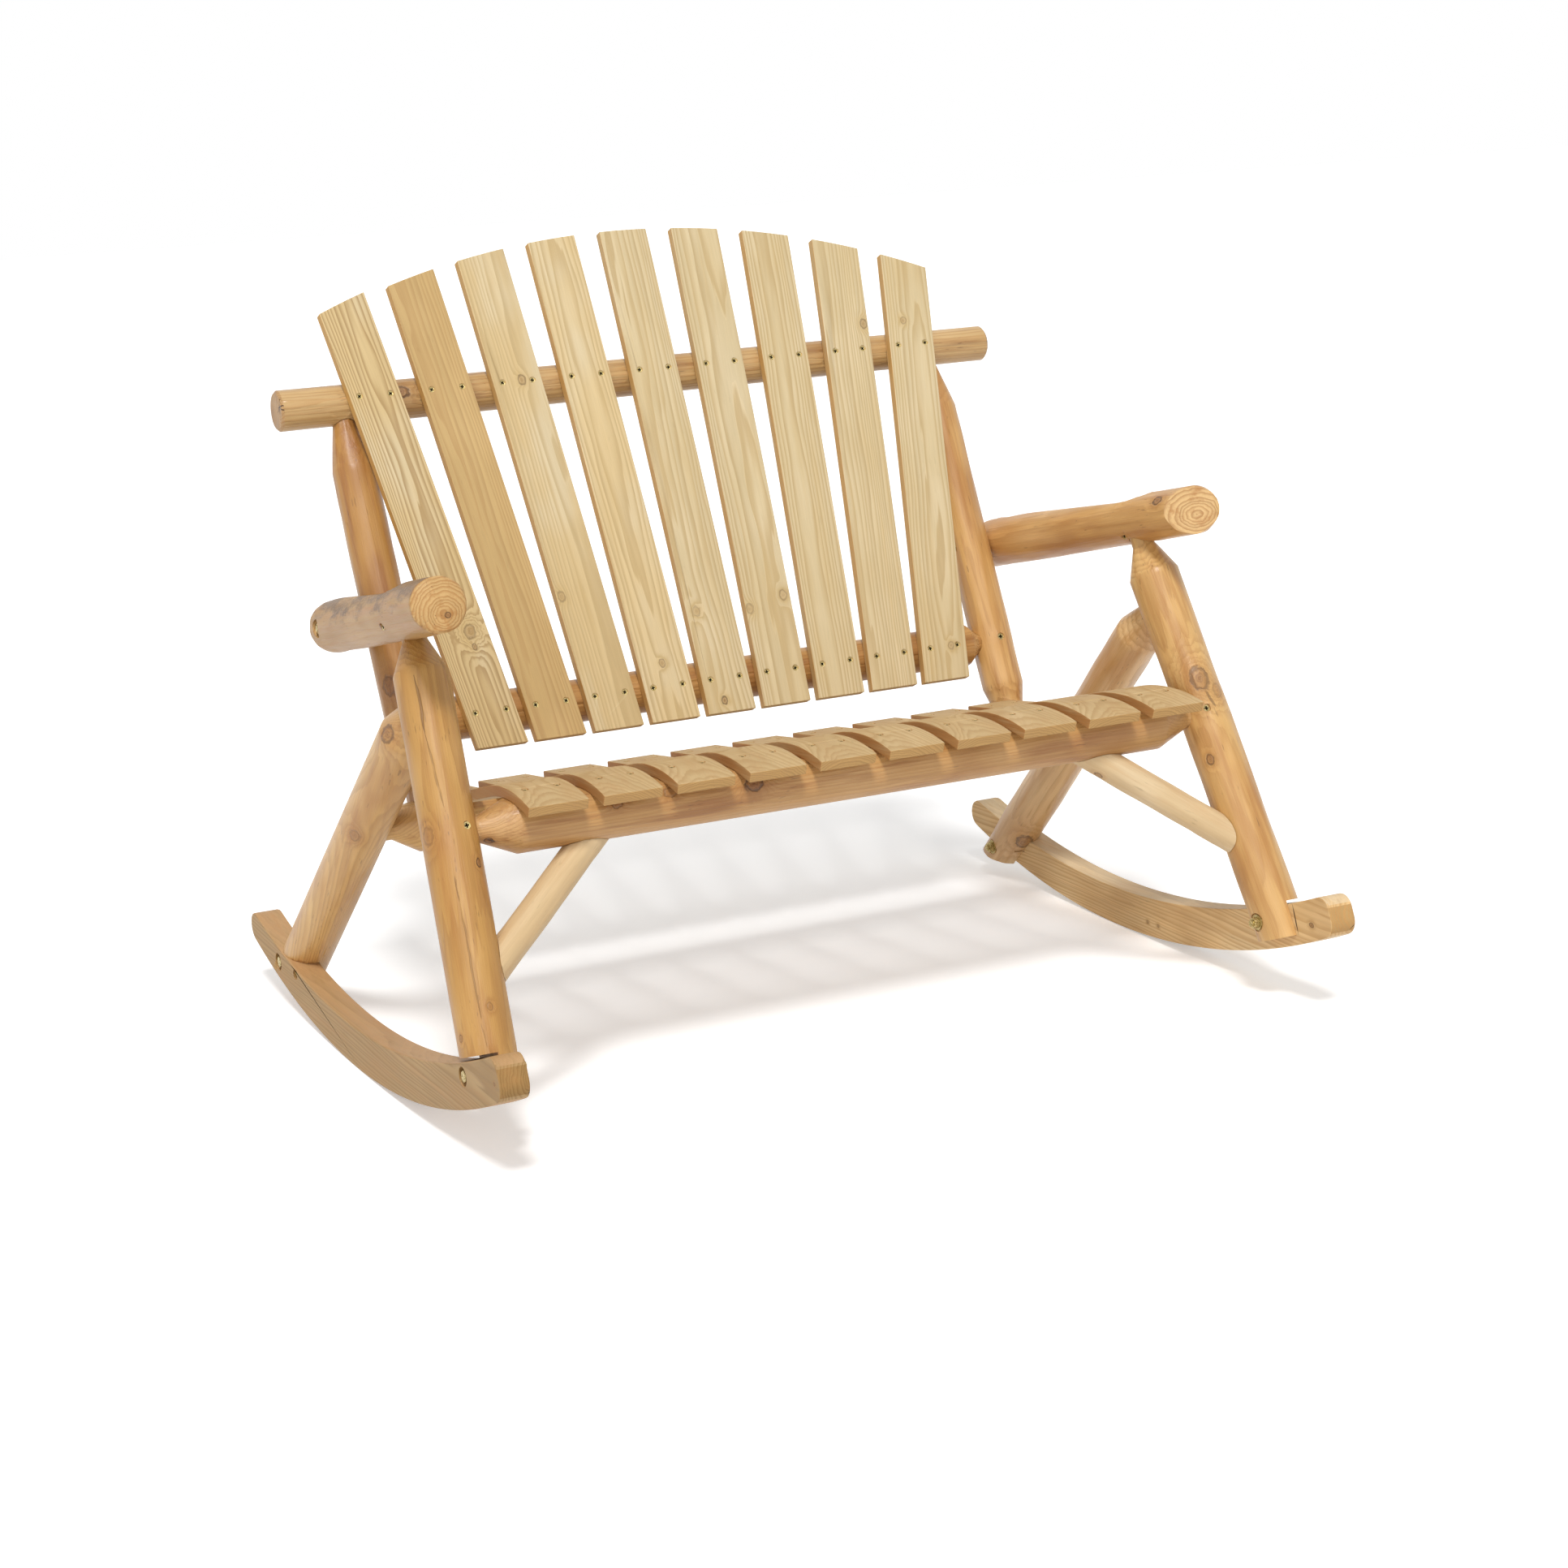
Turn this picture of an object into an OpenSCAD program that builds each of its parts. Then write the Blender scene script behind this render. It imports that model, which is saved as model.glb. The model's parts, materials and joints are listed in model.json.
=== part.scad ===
// Rocking bench of peeled logs with a slatted seat and a fanned, arched back.
// Millimetres, +Z up, +X to the sitter's left, front towards -Y, floor at Z = 0.

/* [Rockers] */
// Width of the bench over the outer faces of the rockers
bench_w = 1143; // [1100:1:1250]
// Thickness of a rocker across the bench
rocker_t = 36; // [32:1:42]
// Radius of the bottom edge that rolls on the floor
rocker_r = 1258; // [1150:1:1400]
// Radius of the hollow top edge
rocker_top_r = 1344; // [1300:1:1500]
// Depth of the rocker at its lowest stretch
rocker_mid_h = 53; // [48:1:60]
// How far the top edge's lowest place lies behind the point of contact
rocker_top_y = 25; // [0:1:40]
// Reach of the front tips in front of the point of contact
rocker_front_reach = 490; // [470:1:520]
// Reach of the rear tips behind the point of contact
rocker_rear_reach = 432; // [410:1:460]
// How much shorter the right rocker's rear end is
right_rear_short = 20; // [0:1:30]
// Rounding of the front tips
rocker_tip_r = 20; // [8:1:24]
// Angle by which the bench rolls back on its rockers until it balances
balance_roll = 1.15; // [0:0.01:3]

/* [Side frames] */
// Distance of a side frame's middle from its rocker's outer face, at the reference height
frame_inset = 49.5; // [46:0.5:56]
// Reference height of that distance
frame_ref_z = 300; // [250:1:350]
// Angle at which the side frames lean in
frame_splay = 4.12; // [3.5:0.01:4.6]
// Radius of a front post
post_r = 33; // [30:0.5:34]
// Height at which the post's place on the floor plan is given
post_foot_z = 100; // [80:1:120]
// Place of the post's axis at that height, in front of the point of contact
post_foot_y = 370; // [350:1:385]
// Backward lean of the front posts
post_lean = 28.2; // [25:0.1:31]
// Radius of a rear leg
leg_r = 31.5; // [29:0.5:33]
// Height at which the leg's place is given
leg_foot_z = 60; // [50:1:75]
// Place of the leg's axis at that height, behind the point of contact
leg_foot_y = 301; // [285:1:315]
// How much further back the left leg stands
left_leg_back = 11; // [0:1:15]
// Forward lean of the rear legs
leg_lean = 47.3; // [45:0.1:49]

/* [Seat] */
// Height of the front seat rail's axis
front_rail_z = 343; // [330:1:350]
// Height of the rear seat rail's axis
rear_rail_z = 287; // [280:1:295]
// Radius of both seat rails
seat_rail_r = 35; // [33:0.5:37]
// Length of the cones at the front rail's ends
front_cone_l = 46; // [38:1:60]
// Length of the cones at the rear rail's ends
rear_cone_l = 35; // [28:1:50]
// Number of seat slats
seat_slats = 10; // [8:1:10]
// Thickness of a seat slat
seat_slat_t = 13.5; // [12:0.5:16]
// Gap between seat slats at the front
seat_gap_front = 19; // [14:1:24]
// Gap between seat slats at the rear
seat_gap_rear = 23; // [18:1:28]
// Space on both sides of the seat at the front, within the bench's width
seat_side_front = 111; // [108:1:125]
// Space on both sides of the seat at the rear, within the bench's width
seat_side_rear = 138; // [130:1:150]
// Highest point of the seat
seat_crest_z = 385.5; // [383:0.5:390]
// Radius of the rolled front of the seat slats
seat_roll_r = 212; // [180:1:250]
// Rise of the seat's main stretch towards the front
seat_rise = 15; // [13:0.5:16]
// Rise of the seat's rear stretch
seat_rear_rise = 5.7; // [4:0.1:8]

/* [Back] */
// Recline of the back from upright
back_recline = 23.74; // [20:0.1:27]
// Height of the lower screws of the back slats
back_z = 405.3; // [400:0.1:412]
// Place of those screws behind the point of contact
back_y = 103.3; // [98:0.1:108]
// Radius of a back post
back_post_r = 28.5; // [26:0.5:30]
// Distance of a back post's axis from the rocker's outer face
back_post_inset = 144.5; // [141:0.5:149]
// Radius of the lower back rail
lower_rail_r = 28; // [25:0.5:29]
// Radius of the upper back rail
upper_rail_r = 26.5; // [24:0.5:28]
// Radius of its thinner right end
upper_rail_right_r = 24; // [22:0.5:28]
// Distance between the two back rails, along the back
back_rail_gap = 430; // [420:1:440]
// How much shorter than the bench's width the upper back rail is
upper_rail_short = 110; // [84:1:140]
// Number of back slats
back_slats = 9; // [7:2:9]
// Gap between back slats at the lower screws
back_gap = 14.3; // [10:0.1:20]
// Space on both sides of the back slats there, within the bench's width
back_side = 208.3; // [200:0.1:225]
// Thickness of a back slat
back_slat_t = 13; // [11:0.5:16]
// Angle from one back slat to the next
back_fan = 2.06; // [1.5:0.01:2.2]
// Length of a back slat below its lower screws
back_slat_tail = 46; // [38:1:50]
// Height of the middle back slat's top above the lower screws, along the back
back_top = 626.5; // [610:0.5:650]
// How much further the first back slat stands up past the arch
first_slat_rise = 6; // [0:0.5:12]
// Radius of the arch along the tops of the back slats
back_arch_r = 1150; // [1000:1:1400]

/* [Arms] */
// Radius of an arm log
arm_r = 33.5; // [31:0.5:35]
// Rise of the arms towards the front
arm_rise = 11.4; // [9:0.1:14]
// Place of the arm bolt on the back post, along the back above the lower screws
arm_bolt_up = 145; // [140:1:152]
// Length of an arm in front of the post's axis
arm_front_l = 155; // [140:1:170]
// How much shorter the right arm's front is
right_arm_short = 11; // [0:1:20]
// Length of an arm behind its bolt
arm_tail_l = 38; // [30:1:45]
// Depth of the planed rest on top of an arm
arm_rest_depth = 9; // [6:0.5:11]

/* [Braces and fixings] */
// Radius of a brace
brace_r = 20; // [18:0.5:24]
// Distance from the post's axis to a brace's place on the front rail
brace_span = 214; // [190:1:230]
// Height below the front rail's axis at which a brace meets the post's axis
brace_drop = 164; // [150:1:175]
// Radius of a turned tenon
tenon_r = 15; // [12:0.5:16]
// Clearance of joints, all round
fit_gap = 0.3; // [0.2:0.05:0.4]
// Thread radius of the frame bolts
bolt_r = 4; // [3:0.5:5]
// Radius of a frame washer
washer_r = 10; // [9:0.5:11]
// Shank radius of a slat screw
screw_r = 2; // [1.5:0.1:2.5]
// Head radius of a slat screw
screw_head_r = 4.2; // [3.6:0.1:4.6]

/* [Hidden] */
BACK_NODES = [for (i = [1:back_slats]) str("back_slat_", i)];
SEAT_NODES = [for (i = [1:seat_slats]) str("seat_slat_", i)];

log_colour = "#c9944f";
slat_colour = "#d9b87c";
rocker_colour = "#c8a063";
brace_colour = "#d6ae72";
zinc_colour = "#b9ad82";

// Facets of round parts, of the long arcs and of small fixings
round_fn = 64;
arc_fn = 1440;
small_fn = 24;
// How far a cutter runs past the surface that it cuts
overrun = 2;
// Size of a cutter that has to be larger than any piece
reach = 2000;

// The bench is drawn with the rockers' arcs centred above Y = 0, rolled back about that
// centre until it balances, and moved so that the origin lies under its footprint's middle

// Names for left and right: left is -X, the side at the viewer's left
LEFT = -1;
RIGHT = 1;

rocker_in_x = bench_w / 2 - rocker_t;
rocker_top_z = rocker_mid_h + rocker_top_r;

// Distance of a side frame's middle plane from the middle of the bench, at a height
function frame_x(z) = bench_w / 2 - frame_inset + (frame_ref_z - z) * tan(frame_splay);
// Axes of the post and of the leg on the right side, at a height
function post_at(z) = [frame_x(z), -post_foot_y + (z - post_foot_z) * tan(post_lean), z];
function leg_foot(side) = leg_foot_y + (side == LEFT ? left_leg_back : 0);
function leg_at(z, side) = [frame_x(z), leg_foot(side) - (z - leg_foot_z) * tan(leg_lean), z];
// Point on a line through two points, at a distance from the first
function along(a, b, d) = a + (b - a) / norm(b - a) * d;
// The same point on the other side of the bench
function flip(p, side) = [side * p.x, p.y, p.z];
// Points of an arc about a centre, from one angle to another
function arc(c, r, a0, a1, n) = [for (i = [0:n]) let (a = a0 + (a1 - a0) * i / n)
    c + r * [cos(a), sin(a)]];

// Back plane: points are [x, distance up the back, distance behind the slats' front]
back_up = [0, sin(back_recline), cos(back_recline)];
back_in = [0, cos(back_recline), -sin(back_recline)];
function back_at(x, up, deep) = [x, back_y, back_z] + back_up * up + back_in * deep;
lower_rail_deep = back_slat_t + lower_rail_r + fit_gap;
upper_rail_deep = back_slat_t + upper_rail_r + fit_gap;
back_post_deep = lower_rail_deep;
back_post_x = bench_w / 2 - back_post_inset;
back_rail_low = 5.7;
// The upper rail sits a little to the right of the middle
upper_rail_shift = 4;
upper_rail_l = bench_w - upper_rail_short;
upper_rail_chamfer = 3;
upper_rail_lift = 3;

// Where the post's axis meets the arm's axis, seen from the side
arm_bolt_at = back_at(back_post_x, arm_bolt_up, back_post_deep);
arm_slope = tan(arm_rise);
arm_post_up = (arm_bolt_at.z - post_foot_z + (arm_bolt_at.y + post_foot_y) * arm_slope)
    / (1 + arm_slope * tan(post_lean));
arm_post_z = post_foot_z + arm_post_up;
arm_post_at = post_at(arm_post_z);
// The arm lies against the outer side of the back post, and a little outside the post
arm_lap = 1.5;
arm_outset = 7;
arm_rear_x = back_post_x + back_post_r + arm_r - arm_lap;
arm_a = [arm_rear_x, arm_bolt_at.y, arm_bolt_at.z];
arm_b = [arm_post_at.x + arm_outset, arm_post_at.y, arm_post_at.z];
arm_l = norm(arm_b - arm_a);
arm_tail_chamfer = 9;
// Radius of the arms' front part, and the length and depth of the bevel round the nose
left_arm_nose = [3, 3];
right_arm_nose = [16, 8];
right_arm_thin = 2;
// Planed rest: its hollow lies in front of the middle and sweeps up to the full log
arm_hollow_from_front = 178;
arm_sweep_l = 78;
arm_rest_l = 252;

// Where the leg's axis meets the post's axis
function leg_post_up(side) = (leg_foot(side) + post_foot_y
    - (post_foot_z - leg_foot_z) * tan(leg_lean)) / (tan(post_lean) + tan(leg_lean));
function leg_post_at(side) = leg_at(post_foot_z + leg_post_up(side), side);
leg_neck_l = 52;
leg_top_d = post_r / sin(post_lean + leg_lean);
tenon_depth = 30;
tenon_end_gap = 1;

// Post top: a cone to a tenon that enters the underside of the arm
post_neck_z = 515;
post_neck_gap = 2;
post_neck_end = arm_r / cos(post_lean - arm_rise) + post_neck_gap;

// Half laps at the rockers: the inner halves of post and leg run on beside the rocker
shoulder_gap = 4.5;
post_tongue_lift = 13;
leg_tongue_drop = 6;
post_bolt_z = 96;
// Places of the leg bolts: [behind the leg's axis, height]
left_leg_bolt = [10, 64];
right_leg_bolt = [0, 54];
lap_cut_h = 140;

front_rail_at = post_at(front_rail_z);
rear_rail_at = leg_at(rear_rail_z, RIGHT);
rail_tenon_past = 24;

// Seat profile: a rear stretch, a steeper main stretch and a rolled front
seat_rear_y = 80;
seat_crest_y = -235;
seat_front_y = -302;
seat_knee_y = -8;
seat_knee_l = 32;
seat_slat_front_w = (bench_w - 2 * seat_side_front - (seat_slats - 1) * seat_gap_front) / seat_slats;
seat_slat_rear_w = (bench_w - 2 * seat_side_rear - (seat_slats - 1) * seat_gap_rear) / seat_slats;
seat_pitch_front = seat_slat_front_w + seat_gap_front;
seat_pitch_rear = seat_slat_rear_w + seat_gap_rear;
seat_front_shift = 17.5;
seat_rear_shift = -18;
seat_screw_edge = 17.5;
seat_screw_in = seat_slat_front_w / 2 - seat_screw_edge;
seat_screw_rear_y = 52;
seat_screw_front_y = -252;

back_screw_edge = 13;
back_slat_w = (bench_w - 2 * back_side - (back_slats - 1) * back_gap) / back_slats;
back_screw_in = back_slat_w / 2 - back_screw_edge;
back_pitch = back_slat_w + back_gap;
arch_z = back_top - back_arch_r;

// Screws and bolts
slat_screw_l = 38;
screw_head_h = 3;
bolt_head_h = 5.3;
bolt_socket_r = 12;
rocker_socket_d = 9;
arm_socket_d = 12;
washer_t = 2;
nut_h = 6.5;
nut_flats = 13;
bolt_tail = 3;
hole_gap = 0.25;
spot_depth = 3;
lock_screw_l = 55;
frame_screw_r = 2.5;
frame_screw_head_r = 5;
rocker_screw_l = 50;
rocker_screw_turn = 35;
rocker_screw_socket = [6.5, 6];
brace_screw_l = 60;
screw_head_sink = 0.5;

// Places children, drawn about the point of contact, in the part's own frame
module placed() {
    translate([0, stand_shift, rocker_r]) rotate([-balance_roll, 0, 0])
        translate([0, 0, -rocker_r]) children();
}

// Turns +Z to the direction from a to b and starts at a
module from_to(a, b) {
    v = b - a;
    translate(a) rotate([0, acos(v.z / norm(v)), atan2(v.y, v.x)]) children();
}

// Turned log from a to b: stations are [distance from a, radius]
module turned(a, b, stations) {
    last = len(stations) - 1;
    outline = concat([[0, stations[0][0]]], [for (s = stations) [s[1], s[0]]],
        [[0, stations[last][0]]]);
    from_to(a, b) rotate_extrude($fn = round_fn) polygon(outline);
}

// Round hole or peg from a to b
module peg(a, b, r) {
    from_to(a, b) cylinder(h = norm(b - a), r = r, $fn = round_fn);
}

// Extrudes a (y, z) outline along X from x0 to x1
module across(x0, x1) {
    translate([x0, 0, 0]) rotate([90, 0, 90]) linear_extrude(height = x1 - x0) children();
}

// Countersunk screw: head at a, point towards b
module screw(a, b, l, r, head_r, head_h, gap = 0) {
    far = l + (gap > 0 ? tenon_end_gap : 0);
    low = gap > 0 ? -overrun : 0;
    outline = [[0, low], [head_r + gap, low], [head_r + gap, 0], [r + gap, head_h],
        [r + gap, far], [0, far]];
    plain = [[0, 0], [head_r, 0], [r, head_h], [r, far], [0, far]];
    from_to(a, b) rotate_extrude($fn = small_fn) polygon(gap > 0 ? outline : plain);
}

// Hexagon of a width across flats, h high, from a towards b
module hexagon(a, b, flats, h) {
    from_to(a, b) cylinder(h = h, r = flats / 2 / cos(30), $fn = 6);
}

// Mirrors children to one side of the bench
module on_side(side) {
    if (side == LEFT) mirror([1, 0, 0]) children();
    else children();
}

// Distance from the bottom edge's centre to the top edge, at an angle from straight down
function top_reach(a) = let (dz = rocker_top_z - rocker_r,
    q = dz * cos(a) - rocker_top_y * sin(a))
    -q + sqrt(q * q + rocker_top_r * rocker_top_r - dz * dz - rocker_top_y * rocker_top_y);
function rocker_point(r, a) = [r * sin(a), rocker_r - r * cos(a)];

rocker_steps = 60;
tip_steps = 10;
front_tip_a = asin((rocker_front_reach - rocker_tip_r) / (rocker_r - rocker_tip_r));
function rear_reach(side) = rocker_rear_reach - (side == RIGHT ? right_rear_short : 0);
function rear_tip_r(side) = (rocker_r - top_reach(asin(rear_reach(side) / rocker_r))) / 2;
function rear_tip_a(side) = asin((rear_reach(side) - rear_tip_r(side)) / (rocker_r - rear_tip_r(side)));
front_top_r = top_reach(-front_tip_a);
stand_front = (rocker_r - rocker_tip_r) * sin(front_tip_a + balance_roll) + rocker_tip_r;
stand_rear = (rocker_r - rear_tip_r(LEFT)) * sin(rear_tip_a(LEFT) - balance_roll) + rear_tip_r(LEFT);
stand_shift = (stand_front - stand_rear) / 2;

function rocker_outline(side) = let (rear_a = rear_tip_a(side), rear_r = rear_tip_r(side),
    span = front_tip_a + rear_a) concat(
    [for (i = [0:rocker_steps]) rocker_point(rocker_r, -front_tip_a + span * i / rocker_steps)],
    [for (i = [1:tip_steps - 1]) let (a = rear_a + 180 * i / tip_steps)
        rocker_point(rocker_r - rear_r, rear_a) + rear_r * [sin(a), -cos(a)]],
    [for (i = [0:rocker_steps]) let (a = rear_a - span * i / rocker_steps)
        rocker_point(top_reach(a), a)],
    [for (i = [1:tip_steps]) let (a = -front_tip_a + 180 + 90 * i / tip_steps)
        rocker_point(front_top_r + rocker_tip_r, -front_tip_a) + rocker_tip_r * [sin(a), -cos(a)]],
    [for (i = [0:tip_steps - 1]) let (a = -front_tip_a - 90 + 90 * i / tip_steps)
        rocker_point(rocker_r - rocker_tip_r, -front_tip_a) + rocker_tip_r * [sin(a), -cos(a)]]);

// Region below the rocker's top edge, as a cutter for what sits on it
module below_rocker_top(lift) {
    difference() {
        translate([-reach / 2, 0]) square([reach, lap_cut_h + reach / 4]);
        translate([rocker_top_y, rocker_top_z]) circle(r = rocker_top_r - lift, $fn = arc_fn);
        translate([-reach / 2, lap_cut_h]) square([reach, reach / 4 + overrun]);
    }
}

// Region below the rocker's bottom edge, raised or lowered
module below_rocker_bottom(lift) {
    difference() {
        translate([-reach / 2, -reach / 4]) square([reach, lap_cut_h + reach / 4]);
        translate([0, rocker_r]) circle(r = rocker_r - lift, $fn = arc_fn);
    }
}

post_bolt_at = post_at(post_bolt_z);
function leg_bolt(side) = side == RIGHT ? right_leg_bolt : left_leg_bolt;
function leg_bolt_at(side) = leg_at(leg_bolt(side)[1], side) + [0, leg_bolt(side)[0], 0];
post_spot_x = post_bolt_at.x - post_r + spot_depth;

// Bolts of one rocker: [place on the outer face, spot face of the nut]
function rocker_bolt_list(side) = [
    [[bench_w / 2, post_bolt_at.y, post_bolt_z], post_spot_x],
    [[bench_w / 2, leg_bolt_at(side).y, leg_bolt_at(side).z], leg_bolt_at(side).x - leg_r + spot_depth]];

module rocker_bolt_holes(side) {
    for (b = rocker_bolt_list(side)) {
        inner = [b[1] - reach / 4, b[0].y, b[0].z];
        outer = b[0] + [overrun, 0, 0];
        peg(inner, outer, bolt_r + hole_gap);
        peg(b[0] - [rocker_socket_d, 0, 0], outer, bolt_socket_r);
    }
}

module rocker_spot_faces(side) {
    for (b = rocker_bolt_list(side))
        peg([b[1] - post_r, b[0].y, b[0].z], [b[1], b[0].y, b[0].z], washer_r + overrun);
}

// Screw from a socket in the rocker's outer face, slanted back into the leg's tongue
leg_screw_side = 71;
leg_screw_dir = [-cos(rocker_screw_turn), sin(rocker_screw_turn), 0];
function leg_screw_at(side) = [bench_w / 2, leg_bolt_at(side).y - leg_screw_side, leg_bolt_at(side).z];

module leg_side_screw(side, gap = 0) {
    a = leg_screw_at(side) + leg_screw_dir * rocker_screw_socket[1];
    screw(a, a + leg_screw_dir, rocker_screw_l, frame_screw_r, frame_screw_head_r, screw_head_h, gap);
}

module rocker(side) {
    at = leg_screw_at(side);
    color(rocker_colour) placed() on_side(side) difference() {
        across(rocker_in_x, bench_w / 2) polygon(rocker_outline(side));
        rocker_bolt_holes(side);
        leg_side_screw(side, hole_gap);
        peg(at + leg_screw_dir * rocker_screw_socket[1], at - leg_screw_dir * bolt_socket_r,
            rocker_screw_socket[0]);
    }
}

// Tenon and mortise lines shared by the pieces that they join
post_low = post_at(0);
function leg_low(side) = leg_at(0, side);
post_len = norm(arm_post_at - post_low);
function leg_len(side) = norm(leg_post_at(side) - leg_low(side));
post_dir = (arm_post_at - post_low) / post_len;
leg_dir = (leg_post_at(RIGHT) - leg_low(RIGHT)) / leg_len(RIGHT);
post_cone_d = (post_neck_z - post_low.z) / post_dir.z;
arm_dir = (arm_b - arm_a) / arm_l;

module rail_mortise(at, surface_x, gap) {
    peg([0, at.y, at.z], [surface_x + rail_tenon_past + tenon_end_gap, at.y, at.z], tenon_r + gap);
}

front_tenon_x = frame_x(front_rail_z) - post_r;
rear_tenon_x = frame_x(rear_rail_z) - leg_r;

// Half lap: cuts away the outer half down to a gap above the rocker's top edge
module half_lap(gap) {
    across(rocker_in_x - fit_gap, bench_w) below_rocker_top(gap);
}

// Both tongues end along the rocker's bottom edge, the post's above it and the leg's below
module post_end_cut() {
    across(0, bench_w) below_rocker_bottom(post_tongue_lift);
}

module leg_end_cut() {
    across(0, bench_w) below_rocker_bottom(-leg_tongue_drop);
}

module front_post_round(grow) {
    tip = post_len - post_neck_end;
    turned(post_low, arm_post_at, [[0, post_r + grow], [post_cone_d, post_r + grow],
        [tip, tenon_r + grow], [tip + tenon_depth + grow, tenon_r + grow]]);
}

module front_post(side) {
    color(log_colour) placed() on_side(side) difference() {
        front_post_round(0);
        half_lap(shoulder_gap);
        post_end_cut();
        rail_mortise(front_rail_at, front_tenon_x, fit_gap);
        leg_tenon(side, fit_gap);
        rocker_bolt_holes(side);
        rocker_spot_faces(side);
        rail_lock_screw_front(hole_gap);
        arm_screw(side, hole_gap);
        brace_screw_post(hole_gap);
    }
}

// The leg's tenon, from behind the post's surface into the post
module leg_tenon(side, gap) {
    a = leg_post_at(side);
    b = leg_low(side);
    peg(along(a, b, leg_top_d + leg_neck_l),
        along(a, b, leg_top_d - tenon_depth - (gap > 0 ? tenon_end_gap : 0)), tenon_r + gap);
}

module rear_leg(side) {
    top = leg_len(side) + leg_r - leg_top_d;
    color(log_colour) placed() on_side(side) difference() {
        turned(leg_low(side) - leg_dir * leg_r, leg_post_at(side), [[0, leg_r],
            [top - leg_neck_l, leg_r], [top + overrun, tenon_r], [top + tenon_depth, tenon_r]]);
        half_lap(fit_gap);
        leg_end_cut();
        rail_mortise(rear_rail_at, rear_tenon_x, fit_gap);
        rocker_bolt_holes(side);
        rocker_spot_faces(side);
        rail_lock_screw_rear(side, hole_gap);
        leg_side_screw(side, hole_gap);
    }
}

// Cutter above the planed rest, in the arm's own lengthwise plane
module arm_rest_cutter() {
    hollow = arm_l + arm_front_l - arm_hollow_from_front;
    sweep_r = (arm_sweep_l * arm_sweep_l + arm_rest_depth * arm_rest_depth) / (2 * arm_rest_depth);
    floor_h = arm_r - arm_rest_depth;
    turn = atan2(arm_dir.x, -arm_dir.y);
    translate(arm_a) rotate([0, 0, turn - 90]) rotate([0, -asin(arm_dir.z), 0])
        translate([0, arm_r + overrun, 0]) rotate([90, 0, 0])
        linear_extrude(height = 2 * (arm_r + overrun)) {
        polygon([[hollow - arm_rest_l, arm_r], [hollow, floor_h], [hollow, arm_r * 2],
            [hollow - arm_rest_l, arm_r * 2]]);
        intersection() {
            translate([hollow, floor_h + sweep_r]) circle(r = sweep_r, $fn = arc_fn);
            translate([hollow, floor_h]) square([2 * arm_sweep_l, arm_r]);
        }
    }
}

function arm_front_r(side) = arm_r - (side == RIGHT ? right_arm_thin : 0);

arm_bolt_in_x = back_post_x - back_post_r + spot_depth;
arm_bolt_out_x = arm_rear_x + arm_r - arm_socket_d;

module arm_bolt_hole() {
    y = arm_bolt_at.y;
    z = arm_bolt_at.z;
    peg([0, y, z], [bench_w, y, z], bolt_r + hole_gap);
    peg([arm_bolt_out_x, y, z], [bench_w, y, z], bolt_socket_r);
    peg([back_post_x - 2 * back_post_r, y, z], [arm_bolt_in_x, y, z], bolt_socket_r);
}

module arm(side) {
    tail = arm_a - arm_dir * arm_tail_l;
    total = arm_tail_l + arm_l + arm_front_l - (side == RIGHT ? right_arm_short : 0);
    nose = side == RIGHT ? right_arm_nose : left_arm_nose;
    front_r = arm_front_r(side);
    color(log_colour) placed() on_side(side) difference() {
        turned(tail, arm_b, [[0, arm_r - arm_tail_chamfer], [arm_tail_chamfer, arm_r],
            [total - nose[0], front_r], [total, front_r - nose[1]]]);
        arm_rest_cutter();
        back_post_round(fit_gap);
        front_post_round(fit_gap);
        arm_bolt_hole();
        arm_screw(side, hole_gap);
    }
}

// The screw across the post's tenon comes from outside on the left and from inside on the right
left_arm_screw_drop = 13;
right_arm_screw_drop = 20;
right_arm_screw_back = 10;
arm_screw_l = 45;

// Point of the arm's side below its axis, dir is 1 on the outer side and -1 on the inner one
function arm_side_at(y, z, dir, r) = let (ahead = (arm_b.y - y) / arm_dir.y,
    axis = arm_b - arm_dir * ahead, drop = (axis.z - z) * norm([arm_dir.x, arm_dir.y]))
    [axis.x + dir * surface_r(r, drop), y, z];

module arm_screw(side, gap = 0) {
    dir = side == RIGHT ? -1 : 1;
    at = post_at(arm_post_z - (side == RIGHT ? right_arm_screw_drop : left_arm_screw_drop));
    a = arm_side_at(at.y + (side == RIGHT ? right_arm_screw_back : 0), at.z, dir, arm_front_r(side));
    screw(a, a - [dir * arm_screw_l, 0, 0], arm_screw_l, frame_screw_r, frame_screw_head_r,
        screw_head_h, gap);
}

// Back post without its joints, right side
back_post_low = -118;
back_post_neck = 345;
back_post_foot_cone = [-84, -58];
back_post_foot_r = 22;
back_post_top = back_rail_gap + upper_rail_lift - upper_rail_r;

module back_post_round(grow) {
    base = back_at(back_post_x, back_post_low, back_post_deep);
    turned(base, back_at(back_post_x, back_post_top, back_post_deep), [
        [0, back_post_foot_r + grow],
        [back_post_foot_cone[0] - back_post_low, back_post_foot_r + grow],
        [back_post_foot_cone[1] - back_post_low, back_post_r + grow],
        [back_post_neck - back_post_low, back_post_r + grow],
        [back_post_top - back_post_low - fit_gap, tenon_r + grow],
        [back_post_top - back_post_low + tenon_depth, tenon_r + grow]]);
}

module lower_rail_tenon(gap) {
    far = back_post_x + tenon_r + (gap > 0 ? tenon_end_gap : 0);
    p = back_at(0, back_rail_low, lower_rail_deep);
    peg([-far, p.y, p.z], [far, p.y, p.z], tenon_r + gap);
}

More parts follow.
